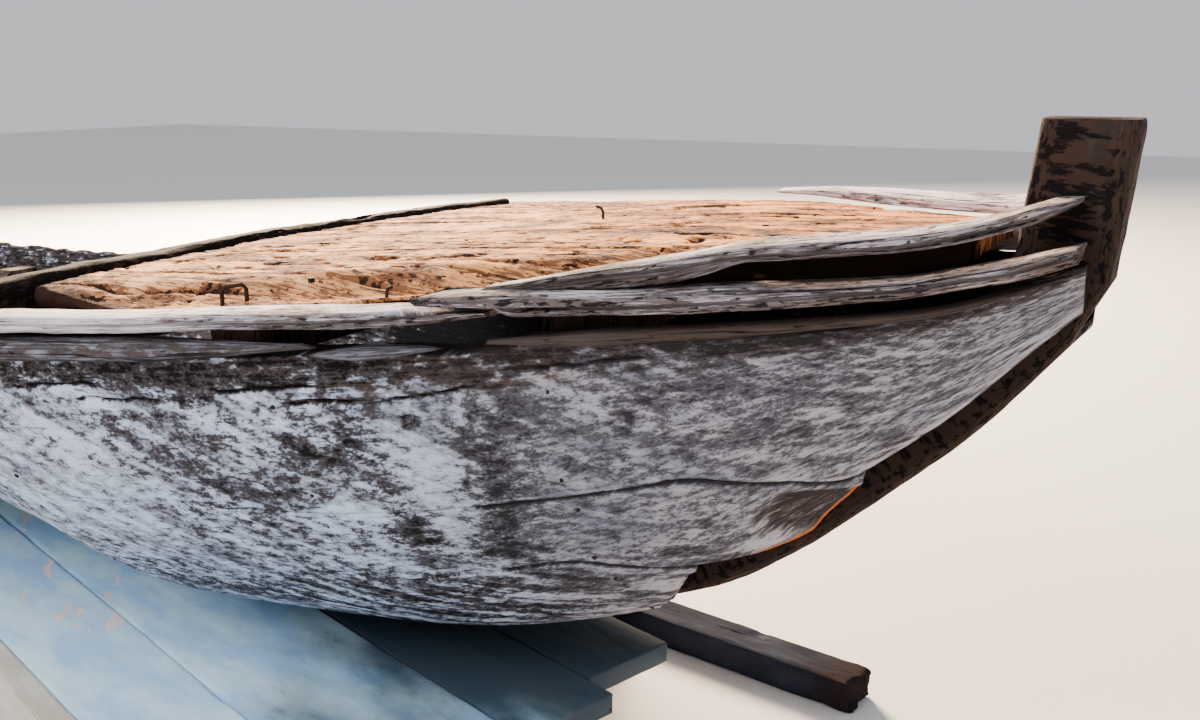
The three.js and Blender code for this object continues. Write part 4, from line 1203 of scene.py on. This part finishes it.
WIRE_SIDES = 8
STAPLE_LEFT, STAPLE_RIGHT = np.array([2.264, -0.539]), np.array([2.286, -0.520])
STAPLE_BEND = np.array([0.003, 0.003])
STAPLE_RADIUS = 0.0028
NAIL_RADIUS = 0.0022
staple = []
for foot, bend in ((STAPLE_LEFT, STAPLE_BEND), (STAPLE_RIGHT, -STAPLE_BEND)):
    low = float(deck_top(*foot) - worn_edge(foot[0])) - 0.012
    staple.append([(*foot, low), (*foot, low + 0.028), (*(foot + bend), low + 0.033)])
wire("deck_staple", staple[0] + staple[1][::-1], STAPLE_RADIUS)
# Bent nails: place, how deep they are sunk, and how far their heads lean forward
BENT_NAILS = [(2.468, -0.476, 0.042, 0.008), (2.466, 0.053, 0.012, -0.012)]
for k, (x, y, sunk, lean) in enumerate(BENT_NAILS):
    foot = float(deck_top(x, y)) - sunk
    line = [(0, 0), (0, 0.022), (0.3 * lean, 0.028), (lean, 0.030)]
    wire(f"bent_nail_{k + 1}", [(x + forward, y, foot + up) for forward, up in line], NAIL_RADIUS)


def nail_heads(name, places, facing, radius, height):
    """Nail heads by Geometry Nodes: one head on every point, turned to its face."""
    mesh = bpy.data.meshes.new(name)
    mesh.from_pydata([tuple(place) for place in places], [], [])
    set_vectors(mesh, "facing", facing)
    heads = add(name, mesh)
    group = bpy.data.node_groups.new(name, "GeometryNodeTree")
    group.interface.new_socket("Points", in_out="INPUT", socket_type="NodeSocketGeometry")
    wide = group.interface.new_socket("Head radius", in_out="INPUT", socket_type="NodeSocketFloat")
    tall = group.interface.new_socket("Head height", in_out="INPUT", socket_type="NodeSocketFloat")
    group.interface.new_socket("Heads", in_out="OUTPUT", socket_type="NodeSocketGeometry")
    tree = Tree(group, "")
    given = tree.node("NodeGroupInput")
    head = tree.node("GeometryNodeMeshCylinder", None, 0, Vertices=7, Radius=given.other("Head radius"),
                     Depth=given.other("Head height"))
    outward = tree.node("GeometryNodeInputNamedAttribute", {"data_type": "FLOAT_VECTOR"}, 0, Name="facing")
    turned = tree.node("FunctionNodeAlignRotationToVector", {"axis": "Z"}, 0, Vector=outward)
    size = tree.node("FunctionNodeRandomValue", {"data_type": "FLOAT"}, 1, i2=0.8, i3=1.2, Seed=5)
    placed = tree.node("GeometryNodeInstanceOnPoints", None, 0, Points=given, Instance=head, Rotation=turned,
                       Scale=size)
    real = tree.node("GeometryNodeRealizeInstances", None, 0, i0=placed)
    iron = FINISHES["iron"]["material"]
    painted = tree.node("GeometryNodeSetMaterial", None, 0, Geometry=real, Material=iron)
    tree.node("NodeGroupOutput", None, 0, i0=painted)
    modifier = heads.modifiers.new(name, "NODES")
    modifier.node_group = group
    modifier[wide.identifier] = radius
    modifier[tall.identifier] = height
    solid = bpy.data.meshes.new_from_object(heads.evaluated_get(bpy.context.evaluated_depsgraph_get()))
    heads.modifiers.clear()
    heads.data = solid
    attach(heads, "root")


def deck_nail(x, y, seed):
    """The place of a nail in a deck, or none outside it."""
    if abs(y) >= curve("breadth", x) - 0.09:
        return []
    return [(x + 0.006 * noise(y * 90, x, seed), y, float(deck_top(x, y)) - 0.0035)]


# Two nails to a plank over each deck beam, and to a strake at each frame and beam, below the wale
FORE_BEAMS = (2.36, 2.78)
AFTER_BEAMS = (-2.40, -2.02)
FRAMES_AND_BEAMS = (-2.45, -1.95, -1.45, -0.88, -0.30, 0.30, 0.88, 1.45, 1.90, 2.36, 2.66)
NAILS_TOP = 0.90
DECK_HEAD = {"radius": 0.0042, "height": 0.006}
HULL_HEAD = {"radius": 0.0033, "height": 0.005}
HEAD_SUNK = 0.0015
fore_planks, after_planks = (list(zip(deck["seams"], deck["seams"][1:])) for deck in DECKS)
places = [place for x in FORE_BEAMS for left, right in fore_planks for y in (left + 0.035, right - 0.035)
          for place in deck_nail(x, y, 97)]
places += [place for left, right in after_planks for x in AFTER_BEAMS for y in (left + 0.04, right - 0.04)
           for place in deck_nail(x, y, 98)]
nail_heads("deck_nails", places, [(0.0, 0.0, 1.0)] * len(places), **DECK_HEAD)
places, facing = [], []
for x in FRAMES_AND_BEAMS:
    edges = [float(curve(name, x)) for name in SEAM_NAMES] + [NAILS_TOP]
    for low, high in zip(edges, edges[1:]):
        for share in (0.16, 0.84):
            girth = low + share * (high - low)
            at = x + 0.02 * float(noise(x * 7, share * 9, 99))
            y, z = (float(part) for part in hull(at, girth, HEAD_SUNK))
            out_y, out_z = (float(part) for part in hull(at, girth, -0.01))
            for side in (-1, 1):
                lost = side > 0 and high == NAILS_TOP and abs(x) < WAIST and share > 0.5
                if not lost:
                    places.append((at, side * y, z))
                    facing.append((0.0, side * (out_y - y), out_z - z))
nail_heads("hull_nails", places, facing, **HULL_HEAD)

# Floor and light
FLOOR_HALF = 14
FLOOR_COLOUR = (0.72, 0.71, 0.70, 1)
STUDIO_COLOUR = (0.84, 0.87, 0.92, 1)
STUDIO_STRENGTH = 0.8

floor_mesh = bpy.data.meshes.new("floor")
corners = [(x * FLOOR_HALF, y * FLOOR_HALF, 0) for x, y in ((-1, -1), (1, -1), (1, 1), (-1, 1))]
floor_mesh.from_pydata(corners, [], [(0, 1, 2, 3)])
pale_floor = Look("pale_floor", 0.95, 0.5)
pale_floor.surface["Base Color"].default_value = FLOOR_COLOUR
floor_mesh.materials.append(pale_floor.material)
add("floor", floor_mesh)

world = bpy.data.worlds.new("studio")
scene.world = world
world.use_nodes = True
background = world.node_tree.nodes["Background"].inputs
background["Color"].default_value = STUDIO_COLOUR
background["Strength"].default_value = STUDIO_STRENGTH

LIGHTS = [
    {"name": "warm_window", "place": (-2.5, 5.0, 3.2), "aim": (2.2, 0.0, 0.7), "size": 2.2, "power": 5200,
     "colour": (1.0, 0.73, 0.50)},
    {"name": "soft_front", "place": (0.6, -4.2, 4.6), "aim": (2.3, -0.5, 0.5), "size": 3.4, "power": 340,
     "colour": (0.86, 0.93, 1.0)},
]
for row in LIGHTS:
    data = bpy.data.lights.new(row["name"], "AREA")
    data.size = row["size"]
    data.energy = row["power"]
    data.color = row["colour"]
    lamp = add(row["name"], data)
    lamp.location = row["place"]
    aim = np.array(row["aim"]) - np.array(row["place"])
    heading = math.atan2(aim[1], aim[0]) - math.pi / 2
    lamp.rotation_euler = (math.pi / 2 + math.atan2(aim[2], math.hypot(aim[0], aim[1])), 0, heading)

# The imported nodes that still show
SLOT_FINISH = {row["slot"]: row["name"] + "_plain" for row in [*OLD_WOOD, HULL]}
SLOT_FINISH |= {"rim_timber": "rim_plain", "painted_board": "painted", "cream_board": "cream"}
slot_of = {part["node"]: part["material_slot"] for part in frame["record"]["subparts"]}
for name, node in frame["nodes"].items():
    material = FINISHES[SLOT_FINISH[slot_of[name]]]["material"]
    for place in node.material_slots:
        place.material = material
